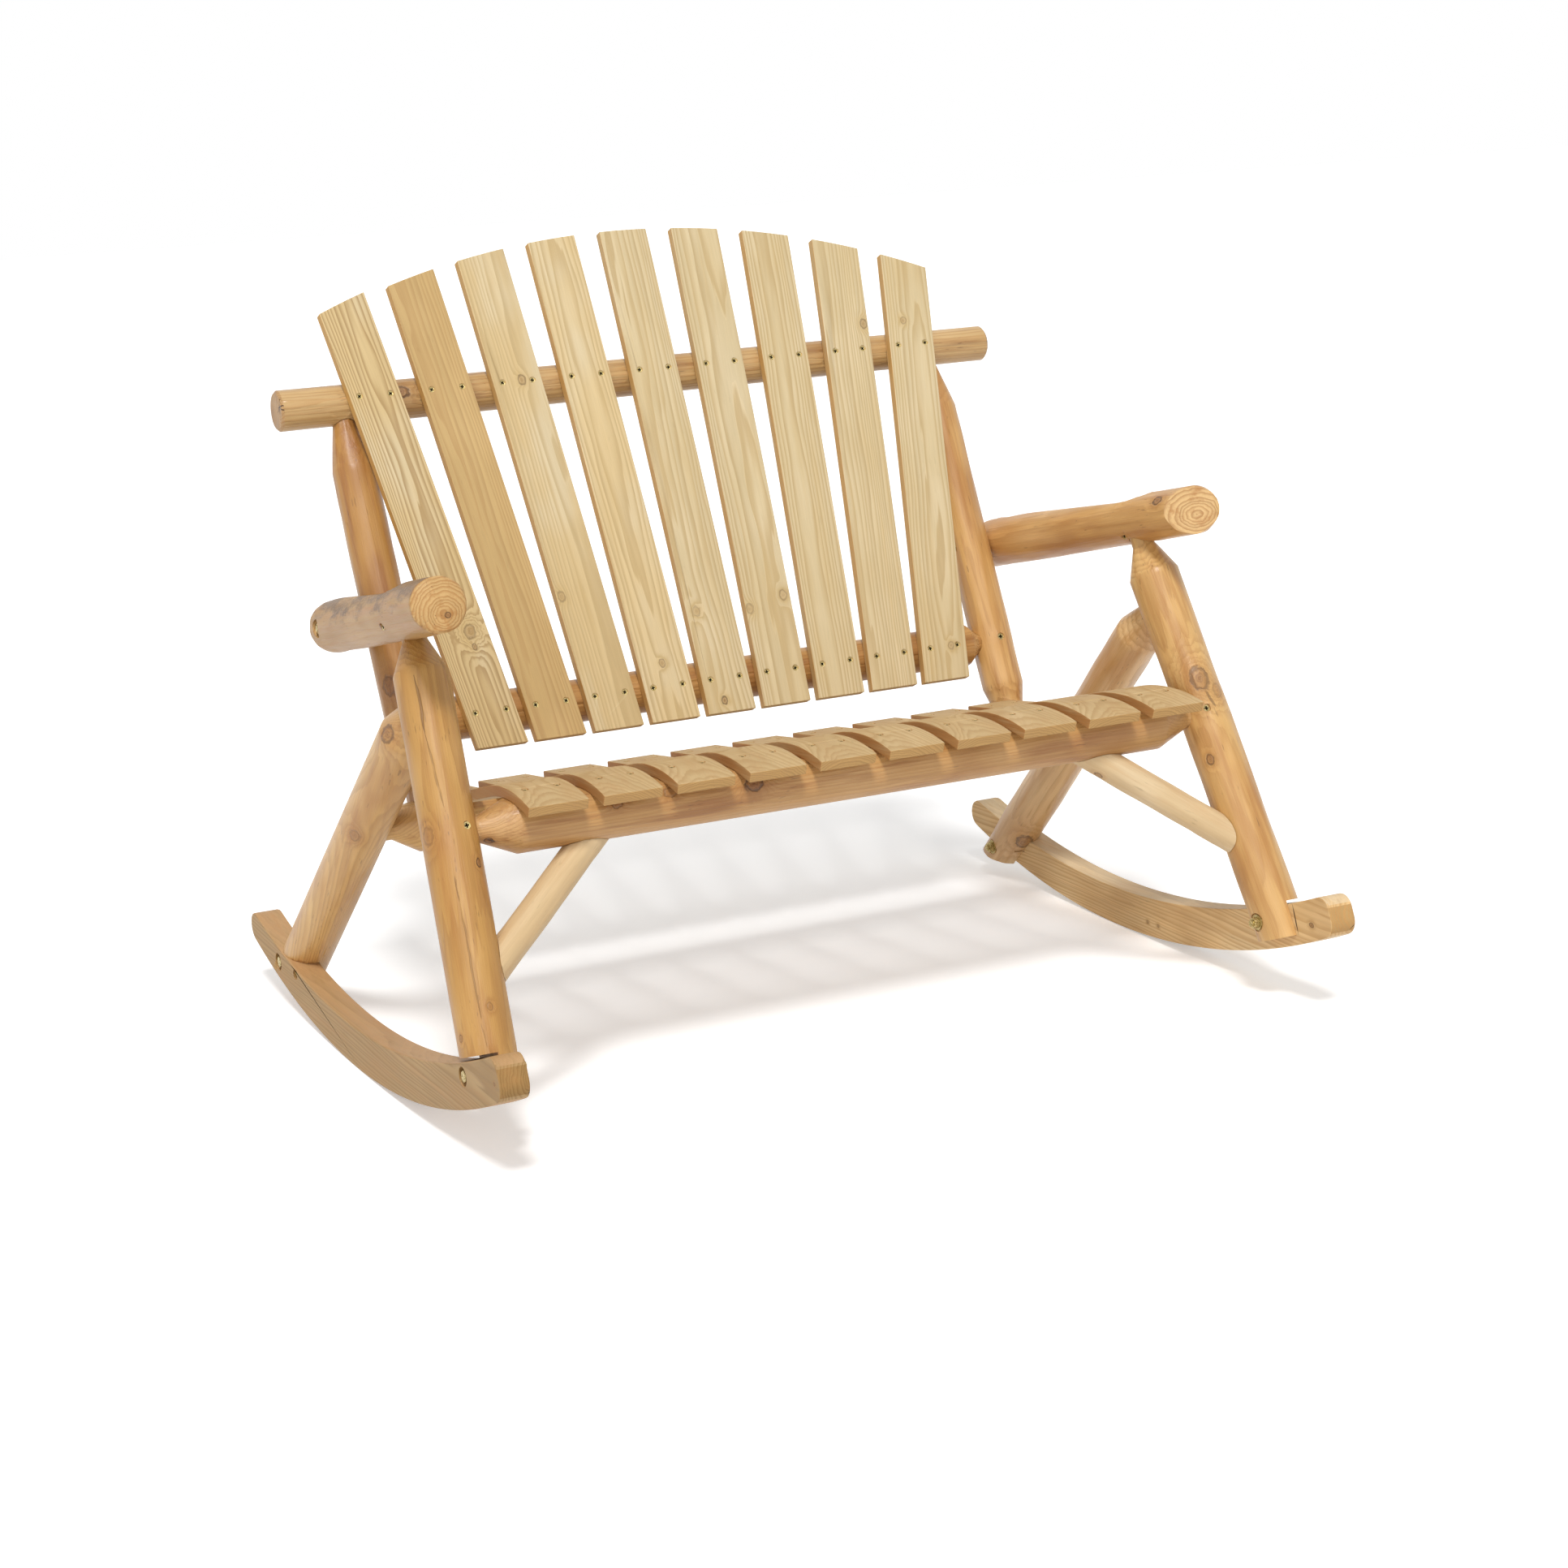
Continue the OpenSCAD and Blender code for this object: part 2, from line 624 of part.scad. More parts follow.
module back_post(side) {
    color(log_colour) placed() on_side(side) difference() {
        back_post_round(0);
        lower_rail_tenon(fit_gap);
        seat_rail_round(rear_rail_at, fit_gap);
        arm_bolt_hole();
        rail_lock_screw_back(hole_gap);
        back_post_screw(hole_gap);
        back_slat_screws(back_half, back_rail_gap, hole_gap);
    }
}

module seat_rail_round(at, grow) {
    half = rear_tenon_x - rear_cone_l;
    peg([-half, at.y, at.z], [half, at.y, at.z], seat_rail_r + grow);
}

// Seat rail with coned ends and tenons, planed where the slats lie
module seat_rail(at, cone_l, surface_x) {
    far = surface_x + rail_tenon_past;
    half = surface_x - cone_l;
    neck = surface_x - fit_gap;
    turned([-far, at.y, at.z], [far, at.y, at.z], [[0, tenon_r], [far - neck, tenon_r],
        [far - half, seat_rail_r], [far + half, seat_rail_r], [far + neck, tenon_r],
        [2 * far, tenon_r]]);
}

module front_seat_rail() {
    color(log_colour) placed() difference() {
        seat_rail(front_rail_at, front_cone_l, front_tenon_x);
        seat_bed();
        for (side = [LEFT, RIGHT]) on_side(side) {
            rail_lock_screw_front(hole_gap);
            brace_screw_rail(hole_gap);
        }
        seat_screws(seat_screw_front_y, hole_gap);
    }
}

module rear_seat_rail() {
    color(log_colour) placed() difference() {
        seat_rail(rear_rail_at, rear_cone_l, rear_tenon_x);
        seat_bed();
        for (side = [LEFT, RIGHT]) on_side(side) {
            rail_lock_screw_rear(side, hole_gap);
            back_post_screw(hole_gap);
        }
        seat_screws(seat_screw_rear_y, hole_gap);
    }
}

module lower_back_rail() {
    p = back_at(0, back_rail_low, lower_rail_deep);
    far = back_post_x + tenon_r;
    neck = back_post_x - back_post_r + fit_gap;
    cone = neck - tenon_r;
    color(log_colour) placed() difference() {
        turned([-far, p.y, p.z], [far, p.y, p.z], [[0, tenon_r], [far - neck, tenon_r],
            [far - cone, lower_rail_r], [far + cone, lower_rail_r], [far + neck, tenon_r],
            [2 * far, tenon_r]]);
        for (side = [LEFT, RIGHT]) on_side(side) rail_lock_screw_back(hole_gap);
        for (k = back_numbers) back_slat_screws(k, 0, hole_gap);
    }
}

module upper_back_rail() {
    up = back_rail_gap + upper_rail_lift;
    a = back_at(upper_rail_shift - upper_rail_l / 2, up, upper_rail_deep);
    b = back_at(upper_rail_shift + upper_rail_l / 2, up, back_slat_t + upper_rail_right_r + fit_gap);
    l = norm(b - a);
    chamfer = upper_rail_chamfer;
    color(log_colour) placed() difference() {
        turned(a, b, [[0, upper_rail_r - chamfer], [chamfer, upper_rail_r],
            [l - chamfer, upper_rail_right_r], [l, upper_rail_right_r - chamfer]]);
        for (side = [LEFT, RIGHT]) on_side(side) peg(back_at(back_post_x, 0, back_post_deep),
            back_at(back_post_x, back_post_top + tenon_depth + tenon_end_gap, back_post_deep),
            tenon_r + fit_gap);
        for (k = back_numbers) back_slat_screws(k, back_rail_gap, hole_gap);
    }
}

// Back slats are numbered from the left, and k counts from the middle one
back_half = (back_slats - 1) / 2;
back_numbers = [for (i = [1:back_slats]) i - 1 - back_half];

// Puts (x, up the back) outlines in place, with +Z out of the slats' front
module on_back() {
    translate([0, back_y, back_z]) rotate([90 - back_recline, 0, 0]) children();
}

function slat_x(k, up) = k * back_pitch + up * tan(k * back_fan);

module back_slat_screws(k, up, gap = 0) {
    for (s = [-1, 1]) {
        a = back_at(slat_x(k, up) + s * back_screw_in, up, 0);
        screw(a, a + back_in, slat_screw_l, screw_r, screw_head_r, screw_head_h, gap);
    }
}

module back_slat(k) {
    color(slat_colour) placed() difference() {
        on_back() translate([0, 0, -back_slat_t]) linear_extrude(height = back_slat_t)
            intersection() {
                translate([k * back_pitch, 0]) rotate(-k * back_fan)
                    translate([-back_slat_w / 2, -back_slat_tail - back_slat_w])
                    square([back_slat_w, back_top + back_slat_tail + back_slat_w * 2]);
                translate([-reach / 2, -back_slat_tail]) square([reach, reach]);
                translate([0, arch_z + (k == -back_half ? first_slat_rise : 0)])
                    circle(r = back_arch_r, $fn = arc_fn);
            }
        back_slat_screws(k, 0, hole_gap);
        back_slat_screws(k, back_rail_gap, hole_gap);
    }
}

// Seat profile, offset inwards by a thickness: arcs and straights, front to rear
function crest_point(a, t) = [seat_crest_y, seat_crest_z - seat_roll_r]
    + (seat_roll_r - t) * [-sin(a), cos(a)];
seat_front_a = asin((seat_crest_y - seat_front_y) / seat_roll_r);
seat_main_at = crest_point(-seat_rise, 0);
seat_knee_at = [seat_knee_y, seat_main_at.y - (seat_knee_y - seat_main_at.x) * tan(seat_rise)];
roll_steps = 14;
knee_steps = 6;
knee_turn = seat_rise - seat_rear_rise;
knee_r = seat_knee_l / tan(knee_turn / 2);
knee_centre = seat_knee_at + seat_knee_l * [-cos(seat_rise), sin(seat_rise)]
    + knee_r * [sin(seat_rise), cos(seat_rise)];
function knee_point(a, t) = knee_centre - (knee_r + t) * [sin(a), cos(a)];
function rear_point(t) = let (run = (seat_rear_y - seat_knee_at.x))
    [seat_rear_y - t * sin(seat_rear_rise), seat_knee_at.y - run * tan(seat_rear_rise)
        - t * cos(seat_rear_rise)];
function seat_line(t) = concat(
    [for (i = [0:roll_steps]) crest_point(seat_front_a - (seat_front_a + seat_rise) * i / roll_steps, t)],
    [for (i = [0:knee_steps]) knee_point(seat_rise - knee_turn * i / knee_steps, t)],
    [rear_point(t)]);
function reversed(v) = [for (i = [len(v) - 1:-1:0]) v[i]];

function seat_left(j, rear) = rear
    ? seat_rear_shift - ((seat_slats - 1) * seat_pitch_rear + seat_slat_rear_w) / 2
        + j * seat_pitch_rear
    : seat_front_shift - ((seat_slats - 1) * seat_pitch_front + seat_slat_front_w) / 2
        + j * seat_pitch_front;

// Plan outline of one seat slat, run on past both ends
module seat_plan(j) {
    l = seat_rear_y - seat_front_y;
    function edge(front, rear, y) = front + (rear - front) * (y - seat_front_y) / l;
    fl = seat_left(j, false);
    rl = seat_left(j, true);
    y0 = seat_front_y - overrun;
    y1 = seat_rear_y + overrun;
    fr = fl + seat_slat_front_w;
    rr = rl + seat_slat_rear_w;
    polygon([[edge(fl, rl, y0), y0], [edge(fr, rr, y0), y0], [edge(fr, rr, y1), y1],
        [edge(fl, rl, y1), y1]]);
}

// Everything above the slats' undersides, as a cutter for the rails
module seat_bed() {
    low = seat_line(seat_slat_t + fit_gap);
    first = low[0];
    last = low[len(low) - 1];
    across(-bench_w / 2, bench_w / 2) polygon(concat([[first.x - seat_rail_r, first.y]], low,
        [[last.x + seat_rail_r, last.y - seat_rail_r * tan(seat_rear_rise)],
        [last.x + seat_rail_r, seat_crest_z + overrun], [first.x - seat_rail_r, seat_crest_z + overrun]]));
}

function seat_height(y) = let (line = seat_line(0))
    lookup(y, [for (p = line) [p.x, p.y]]);

module seat_slat_screws(j, y, gap = 0) {
    share = (y - seat_front_y) / (seat_rear_y - seat_front_y);
    fm = seat_left(j, false) + seat_slat_front_w / 2;
    rm = seat_left(j, true) + seat_slat_rear_w / 2;
    for (s = [-1, 1]) {
        a = [fm + (rm - fm) * share + s * seat_screw_in, y, seat_height(y)];
        screw(a, a - [0, 0, slat_screw_l], slat_screw_l, screw_r, screw_head_r, screw_head_h, gap);
    }
}

module seat_screws(y, gap = 0) {
    for (j = [0:seat_slats - 1]) seat_slat_screws(j, y, gap);
}

module seat_slat(j) {
    color(slat_colour) placed() difference() {
        intersection() {
            across(-bench_w / 2, bench_w / 2) polygon(concat(seat_line(0),
                reversed(seat_line(seat_slat_t))));
            linear_extrude(height = back_z) seat_plan(j);
        }
        seat_slat_screws(j, seat_screw_front_y, hole_gap);
        seat_slat_screws(j, seat_screw_rear_y, hole_gap);
    }
}

// Brace from the underside of the front rail to the inner side of the post
brace_rail_back = 18;
brace_rail_at = [front_rail_at.x - brace_span, front_rail_at.y + brace_rail_back, front_rail_at.z];
brace_post_at = post_at(front_rail_z - brace_drop);
brace_dir = (brace_post_at - brace_rail_at) / norm(brace_post_at - brace_rail_at);
brace_start_share = 0.55;

module brace(side) {
    color(brace_colour) placed() on_side(side) difference() {
        turned(brace_rail_at + brace_dir * seat_rail_r * brace_start_share, brace_post_at,
            [[0, brace_r], [norm(brace_post_at - brace_rail_at)
                - seat_rail_r * brace_start_share, brace_r]]);
        peg([0, front_rail_at.y, front_rail_at.z], [bench_w / 2, front_rail_at.y, front_rail_at.z],
            seat_rail_r + fit_gap);
        peg(post_low, arm_post_at, post_r + fit_gap);
        brace_screw_post(hole_gap);
        brace_screw_rail(hole_gap);
    }
}

// Toe screws of a brace, driven from behind: one into the post, one into the rail
brace_back = [0, 1, 0];
brace_toe_share = 0.3;
brace_mid_post = brace_post_at - brace_dir * (post_r + brace_r * 2);
brace_mid_rail = brace_rail_at + brace_dir * (seat_rail_r + brace_r * 2);

module brace_screw_post(gap = 0) {
    a = brace_mid_post + brace_back * brace_r * cos(post_lean);
    screw(a, brace_post_at + brace_back * brace_r * brace_toe_share, brace_screw_l,
        frame_screw_r, frame_screw_head_r, screw_head_h, gap);
}

module brace_screw_rail(gap = 0) {
    a = brace_mid_rail + brace_back * brace_r * cos(post_lean);
    screw(a, brace_rail_at + brace_back * brace_r * brace_toe_share, brace_screw_l,
        frame_screw_r, frame_screw_head_r, screw_head_h, gap);
}

// Lock screws across the tenons of the rails, square to the log that holds the tenon
lock_in = 20;

// Direction square to a log that leans, and how deep its surface lies beside its axis
function square_to(lean) = [0, cos(lean), -sin(lean)];
function surface_r(r, aside) = sqrt(r * r - aside * aside) - screw_head_sink;

module rail_lock_screw_front(gap = 0) {
    at = [front_tenon_x + lock_in, front_rail_at.y, front_rail_z];
    a = at - square_to(post_lean) * surface_r(post_r, front_rail_at.x - at.x);
    screw(a, at, lock_screw_l, frame_screw_r, frame_screw_head_r, screw_head_h, gap);
}

module rail_lock_screw_rear(side, gap = 0) {
    at = [rear_tenon_x + lock_in, rear_rail_at.y, rear_rail_z];
    aside = (leg_foot(side) - leg_foot_y) * cos(leg_lean);
    a = at + square_to(-leg_lean) * (surface_r(leg_r, rear_rail_at.x - at.x) + aside);
    screw(a, at, lock_screw_l, frame_screw_r, frame_screw_head_r, screw_head_h, gap);
}

module rail_lock_screw_back(gap = 0) {
    at = back_at(back_post_x, back_rail_low, lower_rail_deep);
    screw(at - back_in * (back_post_r - tenon_end_gap), at, lock_screw_l - tenon_r, frame_screw_r,
        frame_screw_head_r, screw_head_h, gap);
}

// Screw that holds the foot of a back post to the rear seat rail
back_post_screw_up = -100;

module back_post_screw(gap = 0) {
    a = back_at(back_post_x, back_post_screw_up, back_post_deep + back_post_foot_r - tenon_end_gap);
    screw(a, [back_post_x, rear_rail_at.y, rear_rail_at.z], lock_screw_l, frame_screw_r,
        frame_screw_head_r, screw_head_h, gap);
}

module rocker_bolts() {
    color(zinc_colour) placed() for (side = [LEFT, RIGHT], b = rocker_bolt_list(side)) on_side(side) {
        head = b[0] - [rocker_socket_d, 0, 0];
        tail = [b[1] - washer_t - nut_h - bolt_tail, b[0].y, b[0].z];
        hexagon(head, head + [1, 0, 0] * bolt_head_h, nut_flats, bolt_head_h);
        peg(tail, head + [1, 0, 0] * bolt_head_h / 2, bolt_r);
    }
}

module ring(a, b, outer, inner) {
    difference() {
        peg(a, b, outer);
        peg(a - (b - a), b + (b - a), inner);
    }
}

module rocker_washers() {
    color(zinc_colour) placed() for (side = [LEFT, RIGHT], b = rocker_bolt_list(side)) on_side(side)
        ring([b[1] - washer_t, b[0].y, b[0].z], [b[1], b[0].y, b[0].z], washer_r, bolt_r + hole_gap);
}

module nut_at(p, h) {
    difference() {
        hexagon(p - [h, 0, 0], p, nut_flats, h);
        peg(p - [h + overrun, 0, 0], p + [overrun, 0, 0], bolt_r);
    }
}

module rocker_nuts() {
    color(zinc_colour) placed() for (side = [LEFT, RIGHT], b = rocker_bolt_list(side)) on_side(side)
        nut_at([b[1] - washer_t, b[0].y, b[0].z], nut_h);
}

module arm_bolts() {
    color(zinc_colour) placed() for (side = [LEFT, RIGHT]) on_side(side) {
        head = [arm_bolt_in_x - washer_t, arm_bolt_at.y, arm_bolt_at.z];
        tail = [arm_bolt_out_x + washer_t + nut_h + bolt_tail / 2, arm_bolt_at.y, arm_bolt_at.z];
        hexagon(head - [bolt_head_h, 0, 0], head, nut_flats, bolt_head_h);
        peg(head - [bolt_head_h / 2, 0, 0], tail, bolt_r);
    }
}

module arm_washers() {
    y = arm_bolt_at.y;
    z = arm_bolt_at.z;
    color(zinc_colour) placed() for (side = [LEFT, RIGHT]) on_side(side) {
        ring([arm_bolt_in_x - washer_t, y, z], [arm_bolt_in_x, y, z], washer_r, bolt_r + hole_gap);
        ring([arm_bolt_out_x, y, z], [arm_bolt_out_x + washer_t, y, z], washer_r, bolt_r + hole_gap);
    }
}

module arm_nuts() {
    color(zinc_colour) placed() for (side = [LEFT, RIGHT]) on_side(side)
        nut_at([arm_bolt_out_x + washer_t + nut_h, arm_bolt_at.y, arm_bolt_at.z], nut_h);
}

module upper_back_slat_screws() {
    color(zinc_colour) placed() for (k = back_numbers) back_slat_screws(k, back_rail_gap);
}

module lower_back_slat_screws() {
    color(zinc_colour) placed() for (k = back_numbers) back_slat_screws(k, 0);
}

module front_seat_slat_screws() {
    color(zinc_colour) placed() seat_screws(seat_screw_front_y);
}

module rear_seat_slat_screws() {
    color(zinc_colour) placed() seat_screws(seat_screw_rear_y);
}

module rail_lock_screws() {
    color(zinc_colour) placed() for (side = [LEFT, RIGHT]) on_side(side) {
        rail_lock_screw_front();
        rail_lock_screw_rear(side);
        rail_lock_screw_back();
    }
}

module arm_screws() {
    color(zinc_colour) placed() for (side = [LEFT, RIGHT]) on_side(side) arm_screw(side);
}

module brace_screws() {
    color(zinc_colour) placed() for (side = [LEFT, RIGHT]) on_side(side) {
        brace_screw_post();
        brace_screw_rail();
    }
}

module rocker_screws() {
    color(zinc_colour) placed() for (side = [LEFT, RIGHT]) on_side(side) leg_side_screw(side);
}

module back_post_screws() {
    color(zinc_colour) placed() for (side = [LEFT, RIGHT]) on_side(side) back_post_screw();
}

rocker(LEFT);  // rocker_left
rocker(RIGHT);  // rocker_right
front_post(LEFT);  // front_post_left
front_post(RIGHT);  // front_post_right
rear_leg(LEFT);  // rear_leg_left
rear_leg(RIGHT);  // rear_leg_right
arm(LEFT);  // arm_left
arm(RIGHT);  // arm_right
back_post(LEFT);  // back_post_left
back_post(RIGHT);  // back_post_right
brace(LEFT);  // brace_left
brace(RIGHT);  // brace_right
front_seat_rail();
rear_seat_rail();
upper_back_rail();
lower_back_rail();
for (i = [1:back_slats]) back_slat(i - 1 - back_half);
for (i = [1:seat_slats]) seat_slat(i - 1);
rocker_bolts();
rocker_washers();
rocker_nuts();
arm_bolts();
arm_washers();
arm_nuts();
upper_back_slat_screws();
lower_back_slat_screws();
front_seat_slat_screws();
rear_seat_slat_screws();
rail_lock_screws();
arm_screws();
brace_screws();
rocker_screws();
back_post_screws();
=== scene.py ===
import json
import math

import bmesh
import bpy
import numpy as np
from mathutils import Matrix, Vector, noise
from mathutils.bvhtree import BVHTree


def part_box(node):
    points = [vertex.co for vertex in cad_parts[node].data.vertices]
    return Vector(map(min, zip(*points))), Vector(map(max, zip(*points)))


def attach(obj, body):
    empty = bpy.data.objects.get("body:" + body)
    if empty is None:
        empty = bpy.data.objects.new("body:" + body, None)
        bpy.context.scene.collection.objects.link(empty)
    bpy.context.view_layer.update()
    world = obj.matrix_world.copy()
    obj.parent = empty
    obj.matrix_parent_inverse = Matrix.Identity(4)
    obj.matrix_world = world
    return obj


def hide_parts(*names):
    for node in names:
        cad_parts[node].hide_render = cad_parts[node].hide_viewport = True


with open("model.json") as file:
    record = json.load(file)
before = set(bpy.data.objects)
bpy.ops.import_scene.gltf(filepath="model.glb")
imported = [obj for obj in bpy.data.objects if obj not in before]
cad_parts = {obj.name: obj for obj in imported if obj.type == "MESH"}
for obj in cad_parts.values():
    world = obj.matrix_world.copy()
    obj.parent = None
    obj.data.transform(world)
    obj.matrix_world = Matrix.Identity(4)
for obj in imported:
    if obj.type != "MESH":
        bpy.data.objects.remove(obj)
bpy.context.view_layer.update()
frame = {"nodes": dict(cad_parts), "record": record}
nodes = frame["nodes"]
mounts = {mount["name"]: mount for mount in frame["record"]["mounts"]}
print("frame loaded:", len(nodes), "CAD nodes")

# camera of the photograph: its place is measured from the floor point under the rockers' arcs,
# with the bench not yet rolled back into balance
cameraPlace = {
    "position": (-1.70536, -3.58312, 1.20519),
    "turnedRight": 25.815,
    "lookingDown": 13.126,
    "tilted": 2.819,
    "lens": 72.355,
    "sensor": 36.0,
    "nearest": 0.1,
    "farthest": 60,
    "benchRolledBack": 1.15,
    "arcRadius": 1.258,
    "photoPixels": 1932,
}


def makeCamera(place):
    yaw, pitch, tilt, roll = (math.radians(place[key]) for key in
                              ("turnedRight", "lookingDown", "tilted", "benchRolledBack"))
    ahead = Vector((math.sin(yaw) * math.cos(pitch), math.cos(yaw) * math.cos(pitch), -math.sin(pitch)))
    level = Vector((math.cos(yaw), -math.sin(yaw), 0))
    down = ahead.cross(level)
    right = level * math.cos(tilt) + down * math.sin(tilt)
    up = level * math.sin(tilt) - down * math.cos(tilt)
    rolled = Matrix.Rotation(-roll, 3, "X")
    centre = Vector((0, 0, place["arcRadius"]))
    contact = Vector((0, mounts["floor_contact"]["pos_m"][1], 0))
    axes = Matrix((right, up, -ahead)).transposed()

    data = bpy.data.cameras.new("photoCamera")
    data.sensor_fit = "HORIZONTAL"
    data.sensor_width = place["sensor"]
    data.lens = place["lens"]
    data.clip_start = place["nearest"]
    data.clip_end = place["farthest"]
    camera = bpy.data.objects.new("photoCamera", data)
    spot = rolled @ (Vector(place["position"]) - centre) + centre + contact
    camera.matrix_world = Matrix.Translation(spot) @ (rolled @ axes).to_4x4()
    bpy.context.collection.objects.link(camera)
    bpy.context.scene.camera = camera
    return camera


camera = makeCamera(cameraPlace)


def sightLine(pixel):
    # direction from the camera through a pixel of the photograph
    half = cameraPlace["photoPixels"] / 2
    focal = cameraPlace["lens"] / cameraPlace["sensor"] * cameraPlace["photoPixels"]
    ray = Vector(((pixel[0] - half) / focal, (half - pixel[1]) / focal, -1))
    return (camera.matrix_world.to_3x3() @ ray).normalized()


print("camera placed")

# short functions for shader nodes
socketKinds = {1: "NodeSocketFloat", 3: "NodeSocketVector", 4: "NodeSocketColor"}
mixSockets = {"share": 0, "first": 6, "second": 7, "result": 2}
displayCurve = {"knee": 0.04045, "slope": 12.92, "offset": 0.055, "power": 2.4}


def feed(tree, socket, value):
    # a socket is linked, and anything else is set as a plain value
    if isinstance(value, bpy.types.NodeSocket):
        tree.links.new(value, socket)
    else:
        socket.default_value = value


def calc(tree, operation, *values, clamp=False):
    node = tree.nodes.new("ShaderNodeMath")
    node.operation = operation
    node.use_clamp = clamp
    for socket, value in zip(node.inputs, values):
        feed(tree, socket, value)
    return node.outputs[0]


def times(tree, first, second, clamp=False):
    return calc(tree, "MULTIPLY", first, second, clamp=clamp)


def plus(tree, first, second, clamp=False):
    return calc(tree, "ADD", first, second, clamp=clamp)


def minus(tree, first, second):
    return calc(tree, "SUBTRACT", first, second)


def vectorCalc(tree, operation, first, second=None, scale=None):
    node = tree.nodes.new("ShaderNodeVectorMath")
    node.operation = operation
    feed(tree, node.inputs[0], first)
    if second is not None:
        feed(tree, node.inputs[1], second)
    if scale is not None:
        feed(tree, node.inputs["Scale"], scale)
    return node.outputs["Value" if operation in ("LENGTH", "DOT_PRODUCT") else "Vector"]


def cloud(tree, vector, scale, detail=2.0, rough=0.5, output=0):
    node = tree.nodes.new("ShaderNodeTexNoise")
    feed(tree, node.inputs["Vector"], vector)
    node.inputs["Scale"].default_value = scale
    node.inputs["Detail"].default_value = detail
    node.inputs["Roughness"].default_value = rough
    return node.outputs[output]


def alongWood(tree, grain, share):
    # keeps only a share of the length along the wood, so that a pattern is drawn out along it
    return vectorCalc(tree, "MULTIPLY", grain, (1, 1, share))


def grainCloud(tree, grain, along, **pattern):
    return cloud(tree, alongWood(tree, grain, along), **pattern)


def sway(tree, pattern, amount):
    # a pattern from 0 to 1, centred on zero
    return times(tree, minus(tree, pattern, 0.5), amount)


def drawn(tree, value):
    # one random number for each whole step of the value
    white = tree.nodes.new("ShaderNodeTexWhiteNoise")
    white.noise_dimensions = "1D"
    feed(tree, white.inputs["W"], calc(tree, "FLOOR", value))
    return white.outputs["Value"]


def ramp(tree, value, low, high, outLow=0.0, outHigh=1.0):
    node = tree.nodes.new("ShaderNodeMapRange")
    node.interpolation_type = "SMOOTHSTEP"
    for key, entry in (("Value", value), ("From Min", low), ("From Max", high),
                       ("To Min", outLow), ("To Max", outHigh)):
        feed(tree, node.inputs[key], entry)
    return node.outputs[0]


def fade(tree, value, low, high, rest=0.0):
    # from 1 down to what is left
    return ramp(tree, value, low, high, 1.0, rest)


def mixTones(tree, share, first, second, mode="MIX"):
    node = tree.nodes.new("ShaderNodeMix")
    node.data_type = "RGBA"
    node.blend_type = mode
    for key, value in (("share", share), ("first", first), ("second", second)):
        feed(tree, node.inputs[mixSockets[key]], value)
    return node.outputs[mixSockets["result"]]


def splitAxes(tree, vector):
    node = tree.nodes.new("ShaderNodeSeparateXYZ")
    feed(tree, node.inputs[0], vector)
    return node.outputs


def joinAxes(tree, *values):
    node = tree.nodes.new("ShaderNodeCombineXYZ")
    for socket, value in zip(node.inputs, values):
        feed(tree, socket, value)
    return node.outputs[0]


def newGroup(name, inputs, outputs):
    # one number makes a value socket, three make a vector and four a colour
    tree = bpy.data.node_groups.new(name, "ShaderNodeTree")
    for label, value in inputs.items():
        size = len(value) if isinstance(value, tuple) else 1
        socket = tree.interface.new_socket(label, in_out="INPUT", socket_type=socketKinds[size])
        socket.default_value = value
    for label in outputs:
        kind = socketKinds[4 if label == "Color" else 1]
        tree.interface.new_socket(label, in_out="OUTPUT", socket_type=kind)
    return tree, tree.nodes.new("NodeGroupInput").outputs, tree.nodes.new("NodeGroupOutput").inputs


def place(tree, group, values):
    node = tree.nodes.new("ShaderNodeGroup")
    node.node_tree = groups[group]
    for label, value in values.items():
        feed(tree, node.inputs[label], value)
    return node.outputs


def tone(hexTone):
    # display colour to scene linear
    parts = [int(hexTone[i:i + 2], 16) / 255 for i in (1, 3, 5)]
    knee, slope, offset, power = (displayCurve[key] for key in ("knee", "slope", "offset", "power"))
    linear = [p / slope if p <= knee else ((p + offset) / (1 + offset)) ** power for p in parts]
    return (*linear, 1.0)


# Shared effects. Grain is a point of the piece in metres, with Z along the wood

# knots: the outline's noise, the swelling's bell curve, the fine turns inside,
# and where heart, core, rim and halo start and end, in radii of the knot
knotLook = {
    "wobble": {"scale": 190, "detail": 3.0},
    "wobbleSize": 0.8,
    "bell": 2.718,
    "turns": 19.0,
    "turnTone": 0.22,
    "heart": (0.0, 0.6, 0.95, 0.55),
    "coreEnds": (0.75, 1.0),
    "rimStarts": (0.72, 0.95),
    "rimEnds": (1.0, 1.3),
    "haloEnds": (0.9, 3.4),
}


